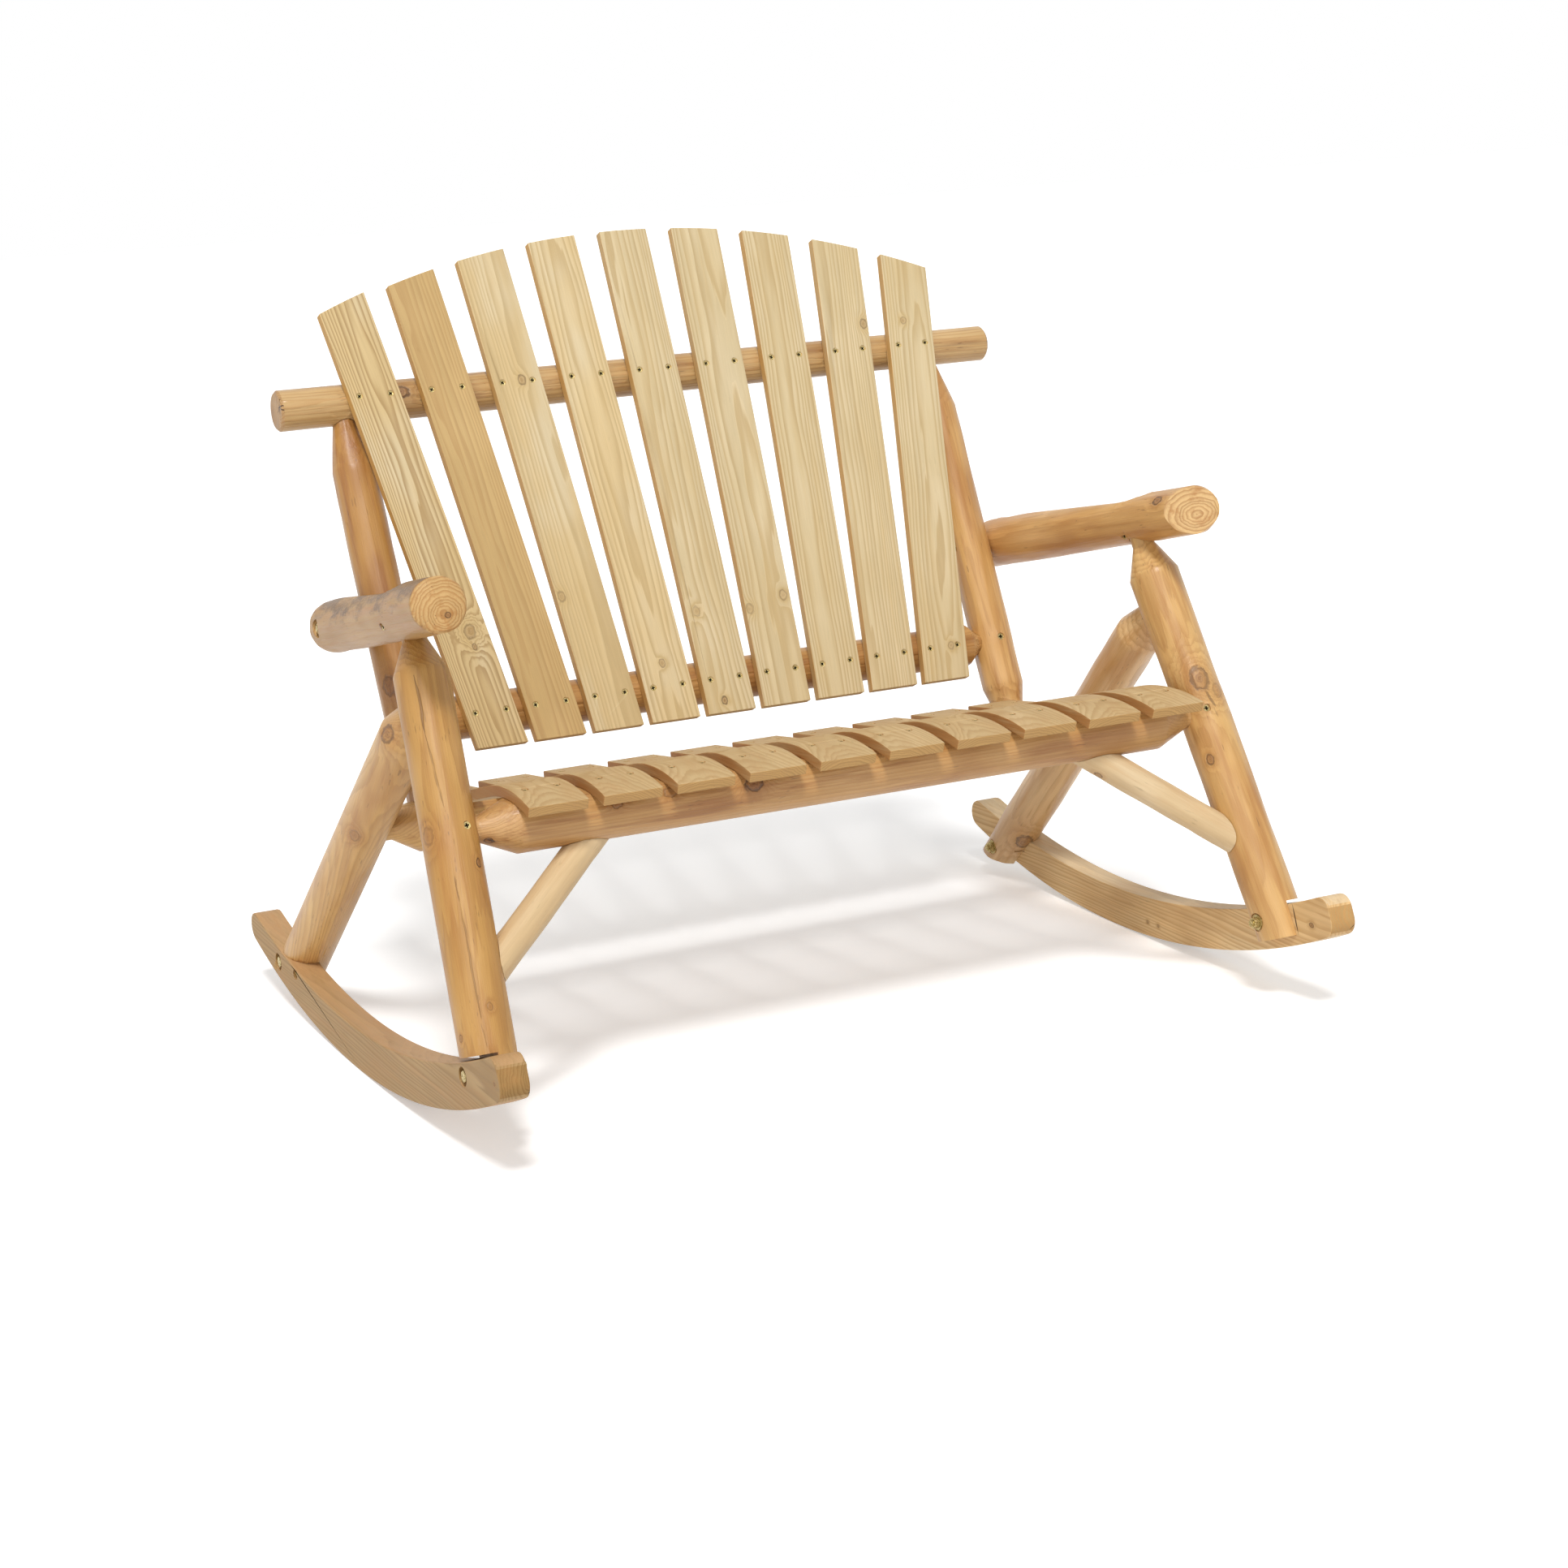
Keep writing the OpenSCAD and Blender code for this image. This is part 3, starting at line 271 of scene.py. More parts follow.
def makeKnotGroup(look):
    tree, given, out = newGroup("knot", {
        "Grain": (0, 0, 0), "Centre": (0, 0, 0), "Radius": 0.008, "Swell": 1.3, "Spread": 1.7,
        "Squash": 0.75}, ("Bulge", "Core", "Rim", "Halo"))
    parts = splitAxes(tree, vectorCalc(tree, "SUBTRACT", given["Grain"], given["Centre"]))
    squashed = joinAxes(tree, parts[0], parts[1], times(tree, parts[2], given["Squash"]))
    wobble = sway(tree, cloud(tree, given["Grain"], **look["wobble"]), look["wobbleSize"])
    distance = calc(tree, "DIVIDE", vectorCalc(tree, "LENGTH", squashed), given["Radius"])
    distance = plus(tree, distance, wobble)
    spread = calc(tree, "DIVIDE", distance, given["Spread"])
    bump = calc(tree, "POWER", look["bell"], times(tree, times(tree, spread, spread), -1.0))
    feed(tree, out["Bulge"], times(tree, bump, times(tree, given["Radius"], given["Swell"])))
    turns = calc(tree, "SINE", times(tree, distance, look["turns"]))
    inside = plus(tree, ramp(tree, distance, *look["heart"]), times(tree, turns, look["turnTone"]))
    feed(tree, out["Core"], times(tree, inside, fade(tree, distance, *look["coreEnds"])))
    feed(tree, out["Rim"], times(tree, ramp(tree, distance, *look["rimStarts"]),
                                 fade(tree, distance, *look["rimEnds"])))
    feed(tree, out["Halo"], fade(tree, distance, *look["haloEnds"]))
    return tree


# growth rings: how they swerve and shiver along the wood, how uneven the years are,
# and where in a year the late wood starts and ends
ringLook = {
    "swerve": {"along": 0.16, "scale": 16, "detail": 1.5},
    "swerveSize": 2.0,
    "shiver": {"along": 0.07, "scale": 120, "detail": 1.0},
    "uneven": {"scale": 1.0, "detail": 0.0},
    "unevenPace": 0.33,
    "unevenSize": 1.6,
    "lateStarts": (0.25, 0.88),
    "lateEnds": (0.9, 1.0),
}


def makeRingGroup(look):
    tree, given, out = newGroup("growthRings", {
        "Grain": (0, 0, 0), "Pith": (0, 0, 0), "Ring Width": 0.003, "Wander": 0.004, "Bulge": 0.0},
        ("Late Wood", "Year Tone"))
    swerve = sway(tree, grainCloud(tree, given["Grain"], **look["swerve"]),
                  times(tree, given["Wander"], look["swerveSize"]))
    shiver = sway(tree, grainCloud(tree, given["Grain"], **look["shiver"]), given["Ring Width"])
    across = alongWood(tree, vectorCalc(tree, "SUBTRACT", given["Grain"], given["Pith"]), 0)
    depth = plus(tree, vectorCalc(tree, "LENGTH", across), swerve)
    depth = plus(tree, plus(tree, depth, shiver), given["Bulge"])
    years = calc(tree, "DIVIDE", depth, given["Ring Width"])
    uneven = cloud(tree, joinAxes(tree, times(tree, years, look["unevenPace"])), **look["uneven"])
    years = plus(tree, years, times(tree, uneven, look["unevenSize"]))
    part = calc(tree, "FRACT", years)
    feed(tree, out["Late Wood"], times(tree, ramp(tree, part, *look["lateStarts"]),
                                       fade(tree, part, *look["lateEnds"])))
    feed(tree, out["Year Tone"], drawn(tree, years))
    return tree


# patterns drawn out along the wood, and flecks: specks that show only in patches
fibreLook = {
    "Fibre": {"along": 0.03, "scale": 800, "detail": 2.0, "rough": 0.6},
    "Streak": {"along": 0.07, "scale": 75, "detail": 3.0, "rough": 0.6},
    "Blotch": {"along": 0.4, "scale": 17, "detail": 2.0},
}
fleckLook = {
    "specks": {"along": 0.13, "scale": 420, "detail": 1.0},
    "speckLimits": (0.66, 0.73),
    "patches": {"scale": 26, "detail": 1.0},
    "patchLimits": (0.54, 0.64),
}


def makeFibreGroup(patterns, flecks):
    tree, given, out = newGroup("fibre", {"Grain": (0, 0, 0), "Seed": (0, 0, 0)}, (*patterns, "Fleck"))
    at = vectorCalc(tree, "ADD", given["Grain"], given["Seed"])
    for label, pattern in patterns.items():
        feed(tree, out[label], grainCloud(tree, at, **pattern))
    specks = ramp(tree, grainCloud(tree, at, **flecks["specks"]), *flecks["speckLimits"])
    patches = ramp(tree, cloud(tree, at, **flecks["patches"]), *flecks["patchLimits"])
    feed(tree, out["Fleck"], times(tree, specks, patches))
    return tree


checkLook = {"wobble": {"scale": 110, "detail": 2.0}, "wobbleSize": 0.5, "core": 0.4, "tip": 0.003}


def makeCheckGroup(look):
    # drying cracks that run out from the pith, seen on cut ends
    tree, given, out = newGroup("endChecks", {
        "Grain": (0, 0, 0), "Pith": (0, 0, 0), "Count": 9.0, "Width": 0.0007, "Reach": 0.03}, ("Check",))
    offset = vectorCalc(tree, "SUBTRACT", given["Grain"], given["Pith"])
    parts = splitAxes(tree, offset)
    angle = calc(tree, "ARCTAN2", parts[1], parts[0])
    distance = vectorCalc(tree, "LENGTH", alongWood(tree, offset, 0))
    wobble = sway(tree, cloud(tree, given["Grain"], **look["wobble"]), look["wobbleSize"])
    sector = times(tree, plus(tree, angle, wobble), calc(tree, "DIVIDE", given["Count"], math.tau))
    aside = calc(tree, "ABSOLUTE", minus(tree, calc(tree, "FRACT", sector), 0.5))
    gap = times(tree, aside, calc(tree, "DIVIDE", times(tree, distance, math.tau), given["Count"]))
    thin = fade(tree, gap, times(tree, given["Width"], look["core"]), given["Width"])
    far = times(tree, drawn(tree, sector), given["Reach"])
    feed(tree, out["Check"], times(tree, thin, ramp(tree, minus(tree, far, distance), 0, look["tip"])))
    return tree


crackLook = {
    "bend": {"along": 0.5, "scale": 45, "output": "Color"},
    "shake": (2, 2, 0),
    "tapers": (0.15, 0.5, 0.15),
    "edge": (0.3, 1.0),
}


def makeCrackGroup(look):
    # a long crack or groove between two points of the surface
    tree, given, out = newGroup("crack", {
        "Grain": (0, 0, 0), "From": (0, 0, 0), "To": (0, 0, 1), "Width": 0.001, "Wobble": 0.003}, ("Crack",))
    bend = vectorCalc(tree, "SUBTRACT", grainCloud(tree, given["Grain"], **look["bend"]), (0.5, 0.5, 0.5))
    shake = vectorCalc(tree, "MULTIPLY", vectorCalc(tree, "SCALE", bend, scale=given["Wobble"]), look["shake"])
    at = vectorCalc(tree, "ADD", given["Grain"], shake)
    run = vectorCalc(tree, "SUBTRACT", given["To"], given["From"])
    start = vectorCalc(tree, "SUBTRACT", at, given["From"])
    share = calc(tree, "DIVIDE", vectorCalc(tree, "DOT_PRODUCT", start, run),
                 vectorCalc(tree, "DOT_PRODUCT", run, run), clamp=True)
    reached = vectorCalc(tree, "SCALE", run, scale=share)
    aside = vectorCalc(tree, "LENGTH", vectorCalc(tree, "SUBTRACT", start, reached))
    fromMiddle = calc(tree, "ABSOLUTE", minus(tree, share, 0.5))
    taper = times(tree, given["Width"], fade(tree, fromMiddle, *look["tapers"]))
    feed(tree, out["Crack"], fade(tree, calc(tree, "DIVIDE", aside, taper), *look["edge"]))
    return tree


# how the patterns mix into one tone: limits of each pattern, and the share that each layer takes
toneMix = {
    "endRings": 0.8,
    "paleBlotches": (0.45, 0.75),
    "endShare": 0.75,
    "sideStreaks": (0.3, 0.6, 0.45, 0.9),
    "warmStreaks": (0.48, 0.72),
    "brownBlotches": (0.5, 0.28),
    "haloShare": 0.45,
    "yearTone": (0.93, 0.07),
    "fibreTone": (0.9, 0.2),
    "coreShare": 0.78,
    "rimShare": 0.95,
    "fleckShare": 0.8,
    "gapShare": 0.7,
    "gapTone": (0.012, 0.006, 0.003, 1),
    "roughness": (0.52, 0.2),
    "endRough": 0.15,
    "heights": {"Late Wood": 0.25, "Fibre": 0.5, "Crack": -3.0, "Rim": -0.9},
}


def makeWoodGroup(look):
    tree, given, out = newGroup("woodTone", {
        "Late Wood": 0.0, "Year Tone": 0.5, "Fibre": 0.5, "Streak": 0.5, "Blotch": 0.5, "Fleck": 0.0,
        "Core": 0.0, "Rim": 0.0, "Halo": 0.0, "Crack": 0.0, "Cut End": 0.0, "Sawn Side": 0.0,
        "Ring Strength": 0.4, "Streak Strength": 0.3, "Blotch Strength": 0.3, "Gloss": 0.0,
        "Early Tone": (0.7, 0.5, 0.3, 1), "Late Tone": (0.5, 0.3, 0.15, 1),
        "Warm Tone": (0.6, 0.35, 0.15, 1), "Pale Tone": (0.8, 0.65, 0.4, 1),
        "Knot Tone": (0.25, 0.12, 0.05, 1), "End Tone": (0.6, 0.4, 0.2, 1),
        "Side Tone": (0.6, 0.4, 0.2, 1)}, ("Color", "Roughness", "Height"))

    def shifted(label, start, span):
        return plus(tree, start, times(tree, given[label], span))

    rings = times(tree, given["Late Wood"], given["Ring Strength"], clamp=True)
    rings = times(tree, rings, shifted("Cut End", 1.0, look["endRings"]), clamp=True)
    base = mixTones(tree, ramp(tree, given["Blotch"], *look["paleBlotches"]),
                    given["Early Tone"], given["Pale Tone"])
    warm = ramp(tree, given["Streak"], *look["warmStreaks"])
    brown = ramp(tree, given["Blotch"], *look["brownBlotches"])
    layers = [
        (times(tree, given["Cut End"], look["endShare"]), "End Tone"),
        (rings, "Late Tone"),
        (times(tree, given["Sawn Side"], ramp(tree, given["Streak"], *look["sideStreaks"])), "Side Tone"),
        (times(tree, warm, given["Streak Strength"]), "Warm Tone"),
        (times(tree, brown, given["Blotch Strength"]), "Warm Tone"),
        (times(tree, given["Halo"], look["haloShare"]), "Warm Tone"),
    ]
    for share, label in layers:
        base = mixTones(tree, share, base, given[label])
    level = times(tree, shifted("Year Tone", *look["yearTone"]), shifted("Fibre", *look["fibreTone"]))
    grey = tree.nodes.new("ShaderNodeCombineColor")
    for socket in grey.inputs:
        feed(tree, socket, level)
    base = mixTones(tree, 1.0, base, grey.outputs[0], "MULTIPLY")
    base = mixTones(tree, times(tree, given["Core"], look["coreShare"]), base, given["Knot Tone"])
    dark = calc(tree, "MAXIMUM", times(tree, given["Rim"], look["rimShare"]), given["Fleck"])
    dark = calc(tree, "MAXIMUM", times(tree, dark, look["fleckShare"]), given["Crack"])
    gapTone = mixTones(tree, look["gapShare"], given["Knot Tone"], look["gapTone"])
    feed(tree, out["Color"], mixTones(tree, dark, base, gapTone))
    rough = minus(tree, shifted("Fibre", *look["roughness"]), times(tree, given["Gloss"], given["Streak"]))
    rough = plus(tree, rough, times(tree, given["Cut End"], look["endRough"]), clamp=True)
    feed(tree, out["Roughness"], rough)
    height = 0.0
    for label, share in look["heights"].items():
        height = plus(tree, height, times(tree, given[label], share))
    feed(tree, out["Height"], height)
    return tree


barkLook = {
    "clumps": {"along": 0.35, "scale": 55, "detail": 4.0, "rough": 0.65},
    "clumpSize": 2.6,
    "cover": (0.05, 0.8),
    "mottle": {"scale": 240, "detail": 4.0, "rough": 0.7},
    "mottleLimits": (0.35, 0.65),
}


def makeSkinGroup(look):
    # weathered inner bark left on one side of a log
    tree, given, out = newGroup("weathered", {
        "Grain": (0, 0, 0), "Toward": (1, 0, 0), "Strength": 0.0}, ("Mask", "Mottle"))
    outward = vectorCalc(tree, "NORMALIZE", alongWood(tree, given["Grain"], 0))
    facing = vectorCalc(tree, "DOT_PRODUCT", outward, given["Toward"])
    clumps = sway(tree, grainCloud(tree, given["Grain"], **look["clumps"]), look["clumpSize"])
    cover = ramp(tree, plus(tree, facing, clumps), *look["cover"])
    feed(tree, out["Mask"], times(tree, cover, given["Strength"]))
    feed(tree, out["Mottle"], cloud(tree, given["Grain"], **look["mottle"]))
    return tree


groups = {
    "knot": makeKnotGroup(knotLook),
    "rings": makeRingGroup(ringLook),
    "fibre": makeFibreGroup(fibreLook, fleckLook),
    "checks": makeCheckGroup(checkLook),
    "crack": makeCrackGroup(crackLook),
    "wood": makeWoodGroup(toneMix),
    "skin": makeSkinGroup(barkLook),
}
print("shader groups:", len(groups))

# each kind of wood: its slot, its tones as display colours, and how strong each pattern is
woodKinds = {
    "log": {
        "slot": "log_wood", "early": "#cfa364", "late": "#ab7a42", "warm": "#aa7439", "pale": "#dab375",
        "knot": "#6d4020", "end": "#d6b078", "side": "#c09458", "rings": 0.4, "streaks": 0.7,
        "blotches": 0.6, "gloss": 0.32, "flecks": 0.5, "ringWidth": 0.0032, "wander": 0.003,
        "bump": 0.0008, "pith": (0.003, 0.002), "coat": 0.35},
    "slat": {
        "slot": "slat_wood", "early": "#ccb88f", "late": "#b19564", "warm": "#c2a46d", "pale": "#d3c09a",
        "knot": "#80592f", "end": "#c8a670", "side": "#c9984f", "rings": 0.62, "streaks": 0.25,
        "blotches": 0.15, "gloss": 0.05, "flecks": 0.1, "ringWidth": 0.0036, "wander": 0.007,
        "bump": 0.0002, "pith": (0.006, -0.05), "coat": 0.0},
    "seat": {
        "slot": "slat_wood", "early": "#c3a677", "late": "#aa8552", "warm": "#b48c5b", "pale": "#cdb183",
        "knot": "#7a522d", "end": "#bd9052", "side": "#a76f35", "rings": 0.5, "streaks": 0.35,
        "blotches": 0.3, "gloss": 0.05, "flecks": 0.25, "ringWidth": 0.0032, "wander": 0.006,
        "bump": 0.00025, "pith": (0.004, -0.045), "coat": 0.0},
    "rocker": {
        "slot": "rocker_wood", "early": "#c39c63", "late": "#a0773f", "warm": "#b08048", "pale": "#cba671",
        "knot": "#6b3f1a", "end": "#b98e53", "side": "#cfae80", "rings": 0.6, "streaks": 0.35,
        "blotches": 0.3, "gloss": 0.1, "flecks": 0.2, "ringWidth": 0.0045, "wander": 0.012,
        "bump": 0.00025, "pith": (0.055, 0.03), "coat": 0.0},
    "brace": {
        "slot": "brace_wood", "early": "#cfb388", "late": "#bf9c6c", "warm": "#bf9461", "pale": "#d8c09a",
        "knot": "#8a5f36", "end": "#cfb180", "side": "#cfae80", "rings": 0.25, "streaks": 0.3,
        "blotches": 0.2, "gloss": 0.12, "flecks": 0.25, "ringWidth": 0.0028, "wander": 0.002,
        "bump": 0.0003, "pith": (0.002, 0.001), "coat": 0.1},
}
woodTones = ("Early", "Late", "Warm", "Pale", "Knot", "End", "Side")

# shared by all wood: how the patterns shift from piece to piece, the number of end checks, and the finish
woodFinish = {
    "shift": 1.37,
    "fibreShift": (0.31, 0.17, 2.3),
    "fewestChecks": 9.0,
    "moreChecks": 4,
    "bumpStrength": 1.0,
    "specular": 0.4,
    "coatRoughness": 0.32,
}
plainKnot = {"swell": 1.3, "spread": 1.7, "dark": 1.0}
plainCrack = {"wobble": 0.003, "dark": 0.8}


def newMaterial(name):
    material = bpy.data.materials.new(name)
    material.use_nodes = True
    return material, material.node_tree, material.node_tree.nodes["Principled BSDF"].inputs


def written(tree, name, output):
    # what a piece's mesh carries under this name
    node = tree.nodes.new("ShaderNodeAttribute")
    node.attribute_name = name
    return node.outputs[output]


def knotMasks(tree, grain, knots):
    masks = {"Bulge": 0.0, "Core": 0.0, "Rim": 0.0, "Halo": 0.0}
    for knot in knots:
        knot = dict(plainKnot, **knot)
        mark = place(tree, "knot", {"Grain": grain, "Centre": knot["centre"], "Radius": knot["radius"],
                                    "Swell": knot["swell"], "Spread": knot["spread"]})
        for key in masks:
            part = times(tree, mark[key], knot["dark"] if key in ("Core", "Rim") else 1.0)
            masks[key] = calc(tree, "ADD" if key == "Bulge" else "MAXIMUM", masks[key], part)
    return masks


def crackMask(tree, grain, cracks):
    mask = 0.0
    for crack in cracks:
        crack = dict(plainCrack, **crack)
        line = place(tree, "crack", {"Grain": grain, "From": crack["start"], "To": crack["end"],
                                     "Width": crack["width"], "Wobble": crack["wobble"]})
        mask = calc(tree, "MAXIMUM", mask, times(tree, line["Crack"], crack["dark"]))
    return mask


def woodMaterial(name, kind, seed, knots, cracks, changes=None, skin=None, checks=0.0):
    look = dict(woodKinds[kind], **(changes or {}))
    material, tree, shader = newMaterial(name)
    grain = written(tree, "grain", "Vector")
    cut = written(tree, "cutEnd", "Fac")
    shift = seed * woodFinish["shift"]
    shifted = vectorCalc(tree, "ADD", grain, (0, 0, shift))
    pith = (*look["pith"], shift)
    masks = knotMasks(tree, grain, knots)
    rings = place(tree, "rings", {"Grain": shifted, "Pith": pith, "Wander": look["wander"],
                                  "Bulge": masks.pop("Bulge"), "Ring Width": look["ringWidth"]})
    fibre = place(tree, "fibre", {"Grain": grain, "Seed": tuple(seed * s for s in woodFinish["fibreShift"])})
    crack = crackMask(tree, grain, cracks)
    if checks:
        count = woodFinish["fewestChecks"] + seed % woodFinish["moreChecks"]
        split = place(tree, "checks", {"Grain": shifted, "Pith": pith, "Count": count, "Reach": checks})
        crack = calc(tree, "MAXIMUM", crack, times(tree, split["Check"], cut))
    values = {"Fleck": times(tree, fibre["Fleck"], look["flecks"]), "Crack": crack, "Cut End": cut,
              "Sawn Side": written(tree, "sawnSide", "Fac"), "Gloss": look["gloss"],
              "Ring Strength": look["rings"], "Streak Strength": look["streaks"],
              "Blotch Strength": look["blotches"], **masks}
    values.update((label, fibre[label]) for label in fibreLook)
    values.update((label, rings[label]) for label in ("Late Wood", "Year Tone"))
    values.update((label + " Tone", tone(look[label.lower()])) for label in woodTones)
    wood = place(tree, "wood", values)
    colour, height = wood["Color"], wood["Height"]
    if skin:
        bark = place(tree, "skin", {"Grain": grain, "Toward": skin["toward"], "Strength": skin["strength"]})
        mask = times(tree, bark["Mask"], minus(tree, 1.0, cut))
        barkTone = mixTones(tree, ramp(tree, bark["Mottle"], *barkLook["mottleLimits"]),
                            tone(skin["dark"]), tone(skin["light"]))
        colour = mixTones(tree, mask, colour, barkTone)
        height = plus(tree, height, times(tree, bark["Mottle"], mask))
    bump = tree.nodes.new("ShaderNodeBump")
    bump.inputs["Strength"].default_value = woodFinish["bumpStrength"]
    bump.inputs["Distance"].default_value = look["bump"]
    feed(tree, bump.inputs["Height"], height)
    feed(tree, shader["Base Color"], colour)
    feed(tree, shader["Roughness"], wood["Roughness"])
    feed(tree, shader["Normal"], bump.outputs["Normal"])
    shader["Specular IOR Level"].default_value = woodFinish["specular"]
    shader["Coat Weight"].default_value = look["coat"]
    shader["Coat Roughness"].default_value = woodFinish["coatRoughness"]
    return material


# yellow zinc on screws, bolts, nuts and washers, and painted shade inside the screws' recesses: near-black metal
zincLook = {
    "bright": "#d2bf88",
    "dull": "#8c7844",
    "patches": {"scale": 700, "detail": 3.0},
    "toneLimits": (0.35, 0.65),
    "roughLimits": (0.3, 0.7),
    "roughness": 0.3,
    "dullRougher": 0.25,
    "metal": 0.85,
}
# near-black tones that paint the shade inside the screws' recesses
recessShadeLook = dict(zincLook, bright="#2b2112", dull="#120d06", roughness=0.5)


def makeZinc(name, look):
    material, tree, shader = newMaterial(name)
    where = tree.nodes.new("ShaderNodeTexCoord").outputs["Object"]
    patches = cloud(tree, where, **look["patches"])
    feed(tree, shader["Base Color"], mixTones(tree, ramp(tree, patches, *look["toneLimits"]),
                                              tone(look["bright"]), tone(look["dull"])))
    feed(tree, shader["Roughness"], ramp(tree, patches, *look["roughLimits"], look["roughness"],
                                         look["roughness"] + look["dullRougher"]))
    shader["Metallic"].default_value = look["metal"]
    return material


zinc = makeZinc("yellowZinc", zincLook)
paintedRecessShade = makeZinc("screwRecessPaintedShade", recessShadeLook)

# mesh work: how near points are joined or kept by a slice, and up to which angle faces are flat
meshLimits = {"join": 0.00002, "slice": 0.00005, "flat": 0.6}

# finding a log's round surface: the radii it may have, how near a point lies to its circle,
# random tries with so many points, rounds of searching, and how steep an axis needs another cross direction
roundSearch = {"thinnest": 0.012, "thickest": 0.045, "near": 0.00015, "tries": 400, "points": 3,
               "rounds": 2, "steep": 0.9}

# a log's turned profile: the size of the cells that its points are counted in, and the fewest of one ring
profileCells = {"size": 0.0003, "fewest": 9}

# when a face counts as a cut end or a sawn side, by how squarely it looks along or across the piece
# (a log has no sawn side, and its limit is never reached), and the angle of edges that stay sharp
dressing = {"log": {"end": 0.62, "side": 2.0, "sharp": 19}, "board": {"end": 0.82, "side": 0.7, "sharp": 20},
            "planed": 0.0003}


def cadMesh(node, joined=True):
    mesh = bmesh.new()
    mesh.from_mesh(nodes[node].data)
    if joined:
        bmesh.ops.remove_doubles(mesh, verts=mesh.verts, dist=meshLimits["join"])
    return mesh


def looseCopy(node):
    # the CAD node's mesh with its triangles joined into flat faces
    mesh = cadMesh(node)
    bmesh.ops.dissolve_limit(mesh, angle_limit=math.radians(meshLimits["flat"]), verts=mesh.verts,
                             edges=mesh.edges)
    return mesh


def slicePlanes(mesh, point, normal):
    bmesh.ops.bisect_plane(mesh, geom=mesh.verts[:] + mesh.edges[:] + mesh.faces[:],
                           dist=meshLimits["slice"], plane_co=point, plane_no=normal)


def alongPiece(mesh):
    # the direction that the faces look along least runs along the piece
    areas = np.array([face.calc_area() for face in mesh.faces])
    normals = np.array([face.normal for face in mesh.faces])
    directions = np.linalg.eigh((normals * areas[:, None]).T @ normals)[1]
    return Vector(directions[:, 0])


def fitCircle(points):
    # least squares circle through points of a plane
    system = np.column_stack([points, np.ones(len(points))])
    solved = np.linalg.lstsq(system, (points ** 2).sum(1), rcond=None)[0]
    centre = solved[:2] / 2
    return centre, math.sqrt(max(solved[2] + centre @ centre, 0))


def bestRound(points, stations, chance):
    # the circle that most of the points lie on, and the middle of their places along the log
    best = None
    for _ in range(roundSearch["tries"]):
        pick = chance.choice(len(points), roundSearch["points"], replace=False)
        centre, radius = fitCircle(points[pick])
        if not roundSearch["thinnest"] < radius < roundSearch["thickest"]:
            continue
        inside = np.abs(np.linalg.norm(points - centre, axis=1) - radius) < roundSearch["near"]
        if best is None or inside.sum() > best.sum():
            best = inside
    centre, radius = fitCircle(points[best])
    return centre, radius, stations[best].mean()


def logAxis(mesh, seed):
    # straight line through the middle of a log: a point, a direction and the radius at its far half
    chance = np.random.default_rng(seed)
    points = np.array([vert.co for vert in mesh.verts])
    along = np.array(alongPiece(mesh))
    if along[np.abs(along).argmax()] < 0:
        along = -along
    for _ in range(roundSearch["rounds"]):
        level = abs(along[1]) < roundSearch["steep"]
        side = np.cross(along, (0.0, 1.0, 0.0) if level else (1.0, 0.0, 0.0))
        side /= np.linalg.norm(side)
        other = np.cross(along, side)
        stations = points @ along
        flat = np.column_stack([points @ side, points @ other])
        middle = (stations.min() + stations.max()) / 2
        ends = []
        for part in (stations < middle, stations >= middle):
            centre, radius, station = bestRound(flat[part], stations[part], chance)
            ends.append(along * station + side * centre[0] + other * centre[1])
        along = ends[1] - ends[0]
        along /= np.linalg.norm(along)
    return Vector(ends[0]), Vector(along), radius


def crossAxes(along):
    level = abs(along.y) < roundSearch["steep"]
    side = along.cross(Vector((0, 1, 0)) if level else Vector((1, 0, 0))).normalized()
    return side, along.cross(side)


def grainFrame(side, other, along, start):
    # from places in the scene to places in the piece's grain
    rotation = Matrix((side, other, along))
    return Matrix.Translation(-(rotation @ start)) @ rotation.to_4x4()


def seenOn(tree, pixel):
    # where the sight line through a pixel of the photograph meets the piece; a miss lands on the camera,
    # too far from the piece to leave a mark
    spot = tree.ray_cast(camera.matrix_world.translation, sightLine(pixel))[0]
    return camera.matrix_world.translation if spot is None else spot


def placeMarks(tree, toGrain, knots, cracks):
    # knots and cracks with their places in the piece's grain
    knots = [dict(knot, centre=toGrain @ seenOn(tree, knot["seenAt"])) for knot in knots]
    cracks = [dict(crack, start=toGrain @ seenOn(tree, crack["seenFrom"]),
                   end=toGrain @ seenOn(tree, crack["seenTo"])) for crack in cracks]
    return knots, cracks


def meshData(mesh, name):
    data = bpy.data.meshes.new(name)
    mesh.to_mesh(data)
    mesh.free()
    return data


def finishPiece(data, materials, sharp, slot, replaced):
    # shades the mesh, and makes it a piece that stands for a CAD node
    data.shade_smooth()
    data.set_sharp_from_angle(angle=math.radians(sharp))
    for material in materials:
        data.materials.append(material)
    piece = bpy.data.objects.new(data.name, data)
    bpy.context.collection.objects.link(piece)
    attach(piece, "root")
    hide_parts(replaced)
    return piece


def readTriples(items, field):
    values = np.empty(len(items) * 3)
    items.foreach_get(field, values)
    return values.reshape(-1, 3)


def markFaces(data, name, faces):
    data.attributes.new(name, "FLOAT", "FACE").data.foreach_set("value", faces.astype(np.float32))


